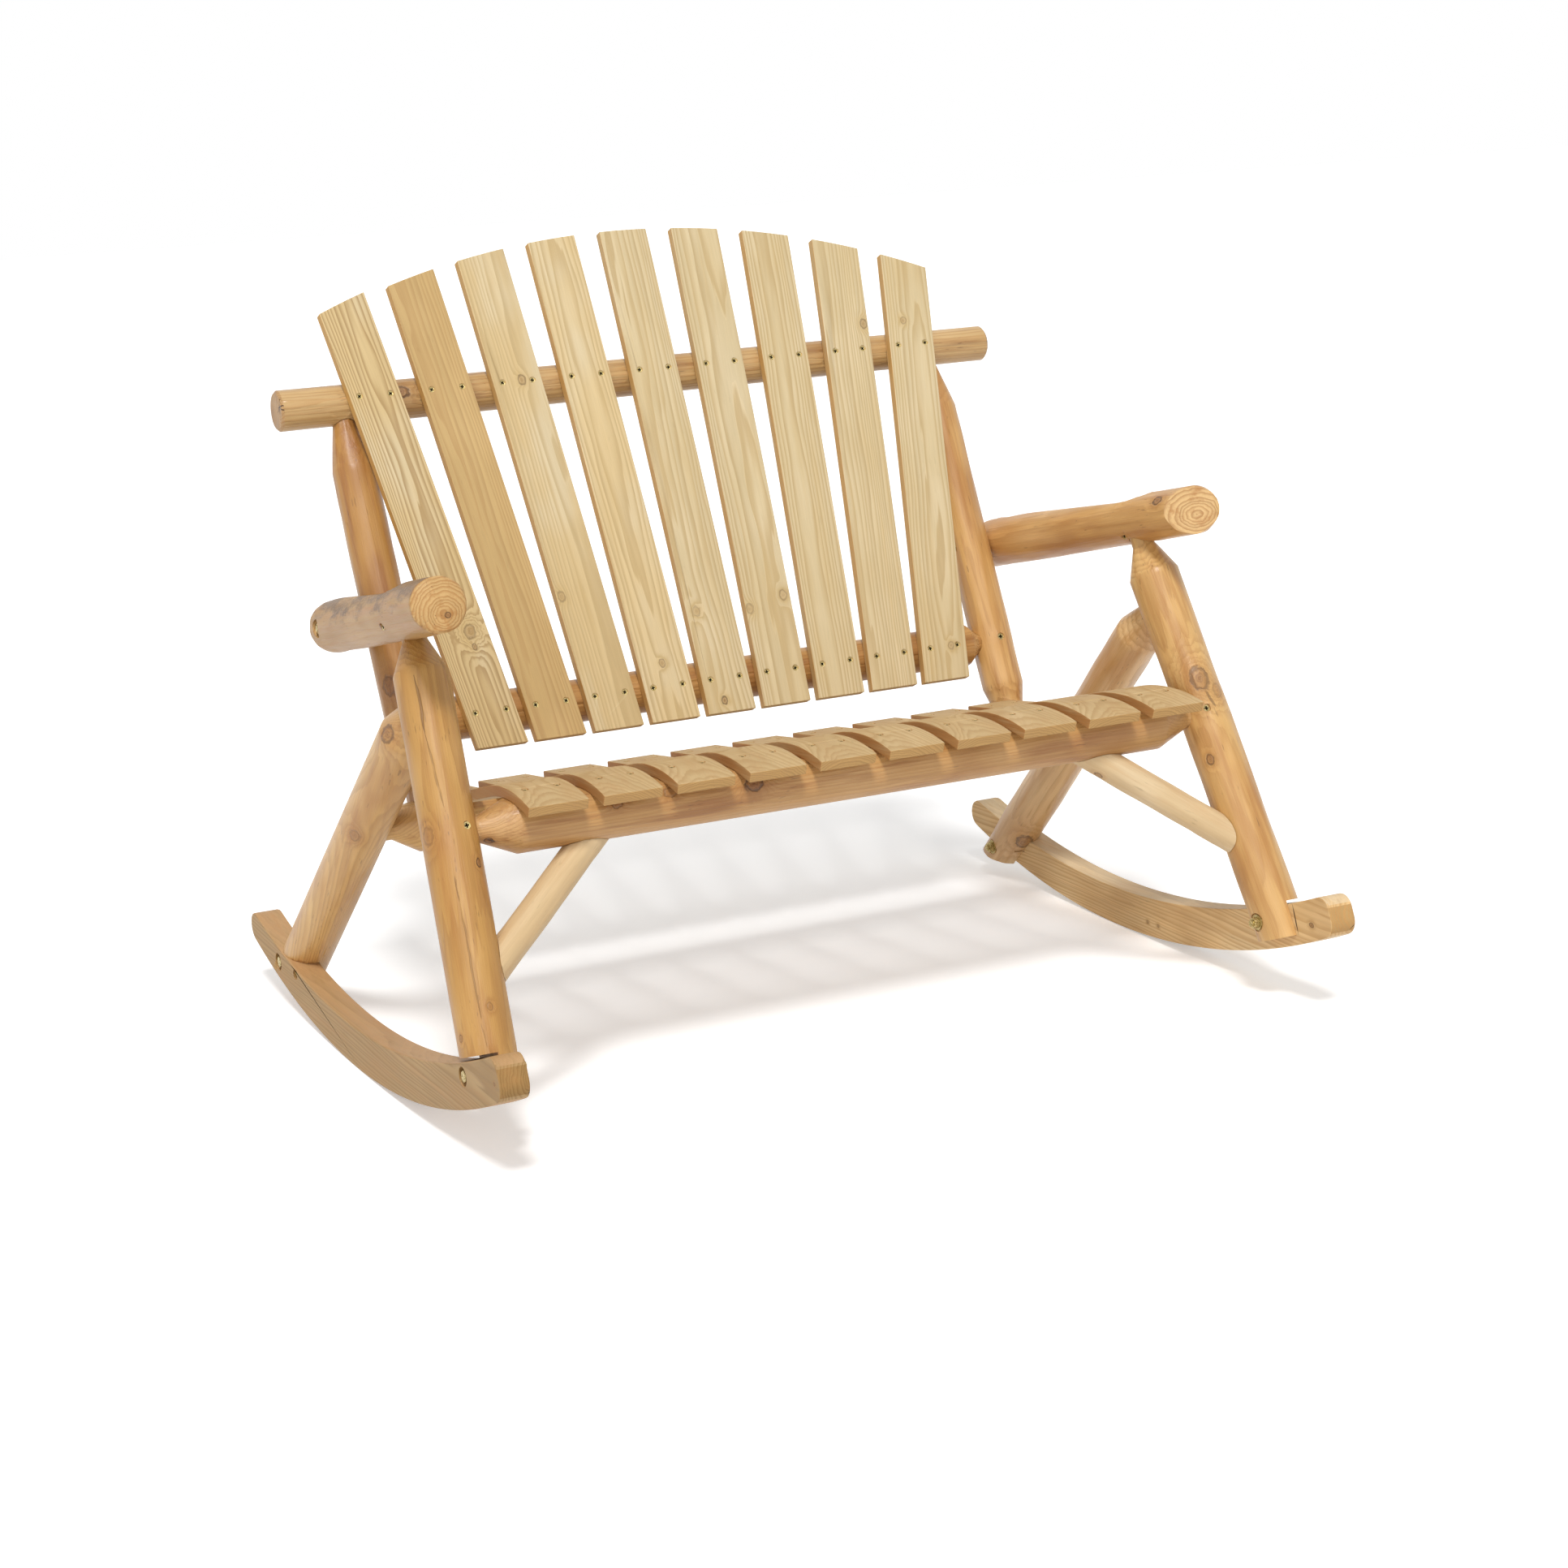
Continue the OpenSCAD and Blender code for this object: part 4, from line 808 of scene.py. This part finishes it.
def finishWood(mesh, toGrain, along, node, shape, kind, material, planed=None):
    # writes the grain on the points, and cut ends and sawn sides on the faces
    data = meshData(mesh, node + "_" + shape)
    rotation = np.array(toGrain.to_3x3())
    grain = readTriples(data.vertices, "co") @ rotation.T + np.array(toGrain.translation)
    grainData = data.attributes.new("grain", "FLOAT_VECTOR", "POINT").data
    grainData.foreach_set("vector", grain.astype(np.float32).ravel())
    normals = readTriples(data.polygons, "normal")
    cut = np.abs(normals @ np.array(along)) > dressing[shape]["end"]
    if planed:
        point, normal = planed
        cut = cut | np.array([abs((face.center - point).dot(normal)) < dressing["planed"]
                              for face in data.polygons])
    markFaces(data, "cutEnd", cut)
    markFaces(data, "sawnSide", np.abs(normals @ rotation[0]) > dressing[shape]["side"])
    return finishPiece(data, [material], dressing[shape]["sharp"], woodKinds[kind]["slot"], node)


# peeled logs: the grid that the surface is cut into, which points belong to the round surface,
# how deep the knife went, its waves and facets, and how far knots stand out at a given radius
peeling = {
    "slice": 0.011,
    "fewestSlices": 2,
    "sectors": 60,
    "sunk": 0.0006,
    "proud": 0.0003,
    "around": 0.035,
    "depth": 0.0004,
    "wave": {"height": 0.0011, "turns": 22, "length": 0.12, "shift": 7.1},
    "facet": {"height": 0.0008, "turns": 85, "length": 0.05, "shift": 3.7},
    "knotRise": 0.0016,
    "knotRadius": 0.01,
    "knotReach": 1.5,
}


def stationRadii(stations, radii):
    # places along the log where a whole ring of points has one radius, with that radius
    size = profileCells["size"]
    cells = {}
    for station, radius in zip(stations, radii):
        key = (round(station / size), round(radius / size))
        cells[key] = cells.get(key, 0) + 1
    rings = {}
    for station, radius in cells:
        near = sum(cells.get((station + i, radius + j), 0) for i in (-1, 0, 1) for j in (-1, 0, 1))
        if near >= profileCells["fewest"] and radius * size > roundSearch["thinnest"]:
            rings[station * size] = max(rings.get(station * size, 0), radius * size)
    return sorted(rings.items())


def sliceLog(mesh, start, side, other, along, stations):
    # rings along the log and lines around it, for the peeled surface to bend at
    low = stations.min()
    length = stations.max() - low
    steps = max(int(length / peeling["slice"]), peeling["fewestSlices"])
    for i in range(1, steps):
        slicePlanes(mesh, start + along * (low + length * i / steps), along)
    halves = peeling["sectors"] // 2
    for i in range(halves):
        angle = math.pi * i / halves
        slicePlanes(mesh, start, side * math.cos(angle) + other * math.sin(angle))


def ripple(look, around, station, seed):
    # smooth noise over the log's surface
    turned = around * peeling["around"]
    return look["height"] * noise.noise(Vector((turned.x * look["turns"], turned.y * look["turns"],
                                                station / look["length"] + seed * look["shift"])))


def peelLog(mesh, toGrain, side, other, seed, profile, radius, knots):
    places = [station for station, size in profile]
    sizes = [size for station, size in profile]
    for vert in mesh.verts:
        p = toGrain @ vert.co
        out = math.hypot(p.x, p.y)
        full = float(np.interp(p.z, places, sizes)) if places else radius
        thin = out < full - peeling["sunk"] or out < roundSearch["thinnest"]
        if thin or out > full + peeling["proud"]:
            continue
        unit = Vector((p.x / out, p.y / out, 0))
        rise = (full - out + ripple(peeling["wave"], unit, p.z, seed) + ripple(peeling["facet"], unit, p.z, seed)
                - peeling["depth"])
        for knot in knots:
            near = (p - knot["centre"]).length / (knot["radius"] * peeling["knotReach"])
            rise += peeling["knotRise"] * knot["radius"] / peeling["knotRadius"] * math.exp(-near * near)
        vert.co = vert.co + (side * unit.x + other * unit.y) * rise


def planeOff(mesh, corners, along):
    # a slanting planed face through three points of the surface: what stands before it moves back onto it
    normal = (corners[1] - corners[0]).cross(corners[2] - corners[0]).normalized()
    if normal.y > 0:
        normal = -normal
    slicePlanes(mesh, corners[0], normal)
    for vert in mesh.verts:
        beyond = (vert.co - corners[0]).dot(normal)
        if beyond > 0:
            vert.co = vert.co - along * (beyond / along.dot(normal))
    return corners[0], normal


def makeLog(node, seed, kind="log", knots=(), cracks=(), pithAt=None, planedAt=(), **options):
    mesh = looseCopy(node)
    start, along, radius = logAxis(mesh, seed)
    side, other = crossAxes(along)
    toGrain = grainFrame(side, other, along, start)
    inLog = [toGrain @ vert.co for vert in mesh.verts]
    stations = np.array([p.z for p in inLog])
    profile = stationRadii(stations, [math.hypot(p.x, p.y) for p in inLog])
    tree = BVHTree.FromBMesh(mesh)
    knots, cracks = placeMarks(tree, toGrain, knots, cracks)
    corners = [seenOn(tree, pixel) for pixel in planedAt]
    if pithAt:
        heart = toGrain @ seenOn(tree, pithAt)
        options["changes"] = dict(options["changes"], pith=(heart.x, heart.y))
    sliceLog(mesh, start, side, other, along, stations)
    peelLog(mesh, toGrain, side, other, seed, profile, radius, knots)
    planed = planeOff(mesh, corners, along) if corners else None
    material = woodMaterial(node + "Wood", kind, seed, knots, cracks, **options)
    return finishWood(mesh, toGrain, along, node, "log", kind, material, planed)


# knots and drying cracks that the photograph shows, by its pixels, with radii and widths in metres
logMarks = {
    "front_post_left": {
        "knots": [{"seenAt": (527, 1031), "radius": 0.008, "dark": 0.4},
                  {"seenAt": (590, 1063), "radius": 0.004},
                  {"seenAt": (568, 1280), "radius": 0.003, "dark": 0.6},
                  {"seenAt": (604, 1240), "radius": 0.0035, "dark": 0.4}],
        "cracks": [{"seenFrom": (510, 832), "seenTo": (524, 905), "width": 0.0024, "dark": 0.45},
                   {"seenFrom": (524, 905), "seenTo": (548, 1000), "width": 0.0018, "dark": 0.3},
                   {"seenFrom": (556, 1060), "seenTo": (600, 1290), "width": 0.0014, "dark": 0.3}],
        "changes": {"early": "#b98a48", "pale": "#c99d5e", "late": "#95642d", "coat": 0.22}},
    "front_post_right": {
        "knots": [{"seenAt": (1478, 836), "radius": 0.011, "dark": 0.75, "swell": 2.0, "spread": 2.4},
                  {"seenAt": (1491, 936), "radius": 0.005, "dark": 0.8},
                  {"seenAt": (1500, 850), "radius": 0.007, "dark": 0.4}],
        "cracks": [{"seenFrom": (1478, 836), "seenTo": (1503, 880), "width": 0.0022, "dark": 0.5}]},
    "rear_leg_left": {
        "knots": [{"seenAt": (477, 905), "radius": 0.009, "dark": 0.8, "spread": 2.2},
                  {"seenAt": (437, 1030), "radius": 0.007, "dark": 0.4}]},
    "rear_leg_right": {
        "knots": [{"seenAt": (1262, 1037), "radius": 0.011, "dark": 0.9, "spread": 2.2}],
        "changes": {"early": "#dfb883", "pale": "#e6c491", "warm": "#c08d50"}},
    "arm_left": {
        "knots": [{"seenAt": (552, 758), "radius": 0.0032, "dark": 0.9},
                  {"seenAt": (470, 772), "radius": 0.003}],
        "pithAt": (548, 757),
        "changes": {"early": "#ac844f", "pale": "#bd9660", "end": "#cfa86f", "ringWidth": 0.0042, "coat": 0.08},
        "skin": {"toward": (-0.8, 0, 0), "strength": 0.85, "dark": "#4a311c", "light": "#83643f"}},
    "arm_right": {
        "knots": [{"seenAt": (1426, 617), "radius": 0.006}],
        "pithAt": (1484, 632),
        "planedAt": ((1450, 605), (1481, 656), (1498, 640)),
        "changes": {"early": "#d0a062", "pale": "#d9ae70", "warm": "#ae7538", "end": "#d9b47c",
                    "ringWidth": 0.0045}},
    "back_post_left": {
        "knots": [{"seenAt": (480, 845), "radius": 0.009, "dark": 0.7}],
        "changes": {"early": "#b28243", "warm": "#8f5928", "pale": "#be9050"}},
    "back_post_right": {"changes": {"early": "#cb9d5e", "pale": "#d8ad70", "warm": "#a57036"}},
    "front_seat_rail": {
        "knots": [{"seenAt": (929, 966), "radius": 0.008, "swell": 2.0, "spread": 2.2},
                  {"seenAt": (602, 1036), "radius": 0.004},
                  {"seenAt": (760, 990), "radius": 0.005, "dark": 0.6},
                  {"seenAt": (826, 976), "radius": 0.006, "dark": 0.5}],
        "cracks": [{"seenFrom": (600, 1034), "seenTo": (612, 1037), "width": 0.002}],
        "changes": {"early": "#be9056", "pale": "#cba069", "warm": "#96602c"}},
    "rear_seat_rail": {},
    "upper_back_rail": {
        "knots": [{"seenAt": (494, 483), "radius": 0.008, "dark": 0.9}],
        "checks": 0.02,
        "changes": {"early": "#c39f69", "warm": "#94693c", "pale": "#ccaa76", "end": "#b08a5c"}},
    "lower_back_rail": {"changes": {"early": "#b98a4d", "warm": "#8f5c2a", "pale": "#c4965a"}},
}
braceMarks = {
    "brace_left": {},
    "brace_right": {"knots": [{"seenAt": (1353, 955), "radius": 0.004},
                              {"seenAt": (1492, 1042), "radius": 0.005, "dark": 0.5}]},
}
firstSeeds = {"logs": 1, "braces": 21, "backSlats": 31, "seatSlats": 51, "rockers": 70, "screws": 90}

for seed, (node, marks) in enumerate(logMarks.items(), start=firstSeeds["logs"]):
    makeLog(node, seed, **marks)
for seed, (node, marks) in enumerate(braceMarks.items(), start=firstSeeds["braces"]):
    makeLog(node, seed, "brace", **marks)
print("logs peeled:", len(logMarks) + len(braceMarks))

# slats and rockers: how wide each kind's edges are eased, and which edges are
easing = {"slat": 0.0011, "seat": 0.0014, "rocker": 0.0022}
boardEdges = {"segments": 2, "profile": 0.6, "angle": 35, "shortest": 0.0025, "clamped": False}


def easeEdges(mesh, width, look):
    edges = [edge for edge in mesh.edges if len(edge.link_faces) == 2 and edge.calc_length() > look["shortest"]
             and edge.calc_face_angle(0) > math.radians(look["angle"])]
    bmesh.ops.bevel(mesh, geom=edges, offset=width, segments=look["segments"], profile=look["profile"],
                    affect="EDGES", clamp_overlap=look["clamped"])


def makeBoard(node, seed, kind, along, through, knots=(), cracks=(), **options):
    # a sawn board: Z of its grain runs along it, Y through its thickness
    mesh = looseCopy(node)
    along = along.normalized()
    side = along.cross(through).normalized() * -1
    through = along.cross(side)
    low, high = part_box(node)
    toGrain = grainFrame(side, through, along, (low + high) / 2)
    knots, cracks = placeMarks(BVHTree.FromBMesh(mesh), toGrain, knots, cracks)
    easeEdges(mesh, easing[kind], boardEdges)
    material = woodMaterial(node + "Wood", kind, seed, knots, cracks, **options)
    return finishWood(mesh, toGrain, along, node, "board", kind, material)


def flatAxes(node):
    # directions of a flat board: along it, and out of its front face
    mesh = cadMesh(node, joined=False)
    normals = sorted(((face.calc_area(), tuple(face.normal)) for face in mesh.faces), reverse=True)
    face = Vector(normals[0][1])
    if face.y > 0:
        face = -face
    points = np.array([vert.co for vert in mesh.verts])
    mesh.free()
    directions = np.linalg.eigh(np.cov((points - points.mean(0)).T))[1]
    along = Vector(directions[:, 2])
    if along.z < 0:
        along = -along
    return (along - face * along.dot(face)).normalized(), face


# where the heart of the tree lay beside each slat: it jumps by a stride through a few places,
# a step apart, both aside and in depth from the nearest
hearts = {
    "slat": {"aside": (37, 11, 0.006), "depth": (29, 7, 0.006), "nearest": 0.03},
    "seat": {"aside": (31, 9, 0.007), "depth": (23, 5, -0.008), "nearest": -0.03},
}


def slatHeart(kind, number):
    look = hearts[kind]
    stride, count, step = look["aside"]
    aside = (number * stride % count - count // 2) * step
    stride, count, step = look["depth"]
    return aside, look["nearest"] + number * stride % count * step


backMarks = {
    1: {"knots": [{"seenAt": (579, 778), "radius": 0.007, "swell": 3.0, "spread": 2.6, "dark": 0.55},
                  {"seenAt": (585, 797), "radius": 0.003, "dark": 0.9}],
        "changes": {"early": "#ceb483", "late": "#9e7d4c", "ringWidth": 0.003, "rings": 0.75}},
    2: {"changes": {"early": "#bf9f69", "late": "#a67f4d", "pale": "#c8a872", "rings": 0.45}},
    3: {"knots": [{"seenAt": (692, 735), "radius": 0.005, "dark": 0.5},
                  {"seenAt": (643, 468), "radius": 0.005, "dark": 0.75}],
        "changes": {"early": "#ceb586", "rings": 0.5}},
    4: {"knots": [{"seenAt": (816, 817), "radius": 0.004, "dark": 0.6}], "changes": {"early": "#d2ba8c"}},
    5: {"knots": [{"seenAt": (858, 753), "radius": 0.005, "dark": 0.4},
                  {"seenAt": (893, 863), "radius": 0.004}]},
    6: {"knots": [{"seenAt": (924, 750), "radius": 0.005, "dark": 0.4},
                  {"seenAt": (965, 733), "radius": 0.005, "dark": 0.5}]},
    7: {"changes": {"rings": 0.7}},
    8: {"knots": [{"seenAt": (1064, 399), "radius": 0.005, "dark": 0.7, "swell": 2.4}],
        "changes": {"ringWidth": 0.0036}},
    9: {"knots": [{"seenAt": (1113, 395), "radius": 0.004, "dark": 0.5},
                  {"seenAt": (1172, 795), "radius": 0.004, "dark": 0.5}]},
}
seatSlats = 10
rockerMarks = {
    "rocker_left": {
        "knots": [{"seenAt": (609, 1336), "radius": 0.002, "dark": 0.9}],
        "checks": 0.05,
        "changes": {"early": "#a98858", "late": "#8b6837", "pale": "#b39262", "end": "#94703c",
                    "side": "#bb9468"}},
    "rocker_right": {
        "knots": [{"seenAt": (1616, 1140), "radius": 0.003},
                  {"seenAt": (1414, 1136), "radius": 0.002, "dark": 0.7},
                  {"seenAt": (1427, 1141), "radius": 0.002, "dark": 0.7}],
        "cracks": [{"seenFrom": (1592, 1113), "seenTo": (1600, 1152), "width": 0.0017, "wobble": 0.0,
                    "dark": 0.95}],
        "checks": 0.05,
        "changes": {"early": "#e2bd86", "late": "#c0935a", "pale": "#e8c894", "end": "#a8844d",
                    "side": "#e4cda6"}},
}

for seed, (number, marks) in enumerate(backMarks.items(), start=firstSeeds["backSlats"]):
    node = "back_slat_%d" % number
    changes = dict(marks.get("changes", {}), pith=slatHeart("slat", number))
    makeBoard(node, seed, "slat", *flatAxes(node), marks.get("knots", ()), changes=changes)
for seed, number in enumerate(range(1, seatSlats + 1), start=firstSeeds["seatSlats"]):
    makeBoard("seat_slat_%d" % number, seed, "seat", Vector((0, 1, 0)), Vector((0, 0, 1)),
              changes={"pith": slatHeart("seat", number)})
for seed, (node, marks) in enumerate(rockerMarks.items(), start=firstSeeds["rockers"]):
    makeBoard(node, seed, "rocker", Vector((0, 1, 0)), Vector((1, 0, 0)), **marks)
print("boards eased:", len(backMarks) + seatSlats + len(rockerMarks))

# screws: turned heads with a cross recess; arm, slot, dish, rim and shank are shares of the head's radius
screwHead = {
    "fit": 0.93,
    "sunk": 0.0009,
    "recess": 0.0024,
    "taper": 0.5,
    "arm": 0.6,
    "slot": 0.2,
    "dish": 0.0003,
    "dishEnds": 0.8,
    "dishLeft": 0.4,
    "flatEnds": 0.95,
    "rimDrop": 0.06,
    "shank": 0.5,
    "cone": 0.0028,
    "endDepth": 0.0005,
    "sharp": 30,
}


def looseParts(node):
    # the points of each screw, in the order of the node's mesh
    mesh = cadMesh(node)
    taken = set()
    for first in mesh.verts:
        if first in taken:
            continue
        taken.add(first)
        queue = [first]
        part = []
        while queue:
            vert = queue.pop()
            part.append(vert.co.copy())
            for edge in vert.link_edges:
                mate = edge.other_vert(vert)
                if mate not in taken:
                    taken.add(mate)
                    queue.append(mate)
        yield np.array(part)
    mesh.free()


def headPlace(points):
    # head centre, direction out of the wood, and head radius of one screw: its head is the wider end
    centre = points.mean(0)
    along = np.linalg.svd(points - centre)[2][0]
    stations = (points - centre) @ along
    radii = np.linalg.norm(points - centre - np.outer(stations, along), axis=1)
    nearLow = stations < stations.min() + screwHead["endDepth"]
    nearHigh = stations > stations.max() - screwHead["endDepth"]
    if radii[nearLow].max() > radii[nearHigh].max():
        along, nearHigh = -along, nearLow
    axis = points[nearHigh].mean(0)
    radius = np.linalg.norm(points[nearHigh] - axis, axis=1).max()
    return Vector(axis), Vector(along), float(radius)


def addScrew(mesh, spot, out, radius, turn):
    side = out.orthogonal().normalized()
    other = out.cross(side)
    arm = screwHead["arm"] * radius
    slot = screwHead["slot"] * radius
    between = (arm + slot) / 2
    cross = []
    for quarter in range(4):
        c, s = math.cos(turn + quarter * math.pi / 2), math.sin(turn + quarter * math.pi / 2)
        for x, y in ((arm, -slot), (arm, 0), (arm, slot), (between, slot), (slot, slot), (slot, between)):
            cross.append((x * c - y * s, x * s + y * c))

    def ring(points, height):
        return [mesh.verts.new(spot + side * x + other * y + out * height) for x, y in points]

    def circle(size):
        return [(math.cos(math.atan2(y, x)) * size, math.sin(math.atan2(y, x)) * size) for x, y in cross]

    top = -screwHead["sunk"]
    small = [(x * screwHead["taper"], y * screwHead["taper"]) for x, y in cross]
    rings = [ring(small, top - screwHead["recess"]),
             ring(cross, top - screwHead["dish"]),
             ring(circle(radius * screwHead["dishEnds"]), top - screwHead["dish"] * screwHead["dishLeft"]),
             ring(circle(radius * screwHead["flatEnds"]), top),
             ring(circle(radius), top - radius * screwHead["rimDrop"]),
             ring(circle(radius * screwHead["shank"]), top - screwHead["cone"])]
    count = len(cross)
    # the recess floor and its walls take the second material, near-black metal that paints the shade inside the
    # recess
    mesh.faces.new(rings[0]).material_index = 1
    for number, (inner, outer) in enumerate(zip(rings, rings[1:])):
        for i in range(count):
            face = mesh.faces.new((inner[i], outer[i], outer[(i + 1) % count], inner[(i + 1) % count]))
            face.material_index = 1 if number == 0 else 0
    mesh.faces.new(list(reversed(rings[-1])))


def makeScrews(node, seed):
    chance = np.random.default_rng(seed)
    mesh = bmesh.new()
    for points in looseParts(node):
        spot, out, radius = headPlace(points)
        addScrew(mesh, spot, out, radius * screwHead["fit"], chance.uniform(0, math.pi / 2))
    bmesh.ops.recalc_face_normals(mesh, faces=mesh.faces)
    data = meshData(mesh, node + "_heads")
    finishPiece(data, [zinc, paintedRecessShade], screwHead["sharp"], "zinc_steel", node)


screwNodes = sorted(node for node in nodes if node.endswith("screws"))
for seed, node in enumerate(screwNodes, start=firstSeeds["screws"]):
    makeScrews(node, seed)
print("screw nodes:", len(screwNodes))

# bolts, nuts and washers: eased edges; the rocker bolts' heads stand up nearly level with the wood
boltLook = {"ease": 0.0005, "rising": "rocker_bolts", "headRise": 0.003, "headDepth": 0.0015, "sharp": 25}
boltEdges = {"segments": 2, "profile": 0.5, "angle": 28, "shortest": 0.0015, "clamped": True}


def makeFasteners(node):
    mesh = looseCopy(node)
    if node == boltLook["rising"]:
        for side in (-1, 1):
            reach = max(vert.co.x * side for vert in mesh.verts)
            for vert in mesh.verts:
                if vert.co.x * side > reach - boltLook["headDepth"]:
                    vert.co.x += side * boltLook["headRise"]
    easeEdges(mesh, boltLook["ease"], boltEdges)
    finishPiece(meshData(mesh, node + "_eased"), [zinc], boltLook["sharp"], "zinc_steel", node)


fasteners = sorted(node for node in nodes if node.endswith(("bolts", "nuts", "washers")))
for node in fasteners:
    makeFasteners(node)
print("bolts, nuts and washers:", len(fasteners))

# stage: pale floor that glows a little for the camera, and soft studio light
stageLook = {
    "floorSize": 14.0,
    "floorTone": 0.9,
    "floorRoughness": 0.9,
    "floorDrop": 0.0005,
    "lift": 0.34,
    "worldStrength": 0.47,
    "seen": 1.0,
}

# key light from the upper left front, and a soft low fill: strength, height, turn and softness in degrees
lampLooks = {"keySun": {"strength": 2.15, "height": 57, "turn": -24, "softness": 12},
             "fillSun": {"strength": 0.6, "height": 14, "turn": -38, "softness": 45}}


def seenDirectly(tree):
    # 1 where the camera or a reflection looks, 0 for the light that falls on the bench
    path = tree.nodes.new("ShaderNodeLightPath")
    return calc(tree, "MAXIMUM", path.outputs["Is Camera Ray"], path.outputs["Is Glossy Ray"])


def makeFloor(look):
    mesh = bmesh.new()
    bmesh.ops.create_grid(mesh, x_segments=1, y_segments=1, size=look["floorSize"])
    data = meshData(mesh, "floor")
    material, tree, shader = newMaterial("paleFloor")
    shader["Base Color"].default_value = (look["floorTone"],) * 3 + (1,)
    shader["Roughness"].default_value = look["floorRoughness"]
    shader["Specular IOR Level"].default_value = 0
    shader["Emission Color"].default_value = (1, 1, 1, 1)
    feed(tree, shader["Emission Strength"], times(tree, seenDirectly(tree), look["lift"]))
    data.materials.append(material)
    floor = bpy.data.objects.new("floor", data)
    floor.location.z = -look["floorDrop"]
    bpy.context.collection.objects.link(floor)


def makeLamp(name, look):
    data = bpy.data.lights.new(name, "SUN")
    data.energy = look["strength"]
    data.angle = math.radians(look["softness"])
    lamp = bpy.data.objects.new(name, data)
    turn, height = math.radians(look["turn"]), math.radians(look["height"])
    away = Vector((math.sin(turn) * math.cos(height), -math.cos(turn) * math.cos(height), math.sin(height)))
    lamp.rotation_euler = away.to_track_quat("Z", "Y").to_euler()
    bpy.context.collection.objects.link(lamp)


def makeWorld(look):
    world = bpy.data.worlds.new("whiteStudio")
    bpy.context.scene.world = world
    world.use_nodes = True
    tree = world.node_tree
    background = tree.nodes["Background"]
    background.inputs["Color"].default_value = (1, 1, 1, 1)
    feed(tree, background.inputs["Strength"],
         ramp(tree, seenDirectly(tree), 0.0, 1.0, look["worldStrength"], look["seen"]))


makeFloor(stageLook)
makeWorld(stageLook)
for name, look in lampLooks.items():
    makeLamp(name, look)
bpy.context.scene.view_settings.view_transform = "Standard"
print("stage set")
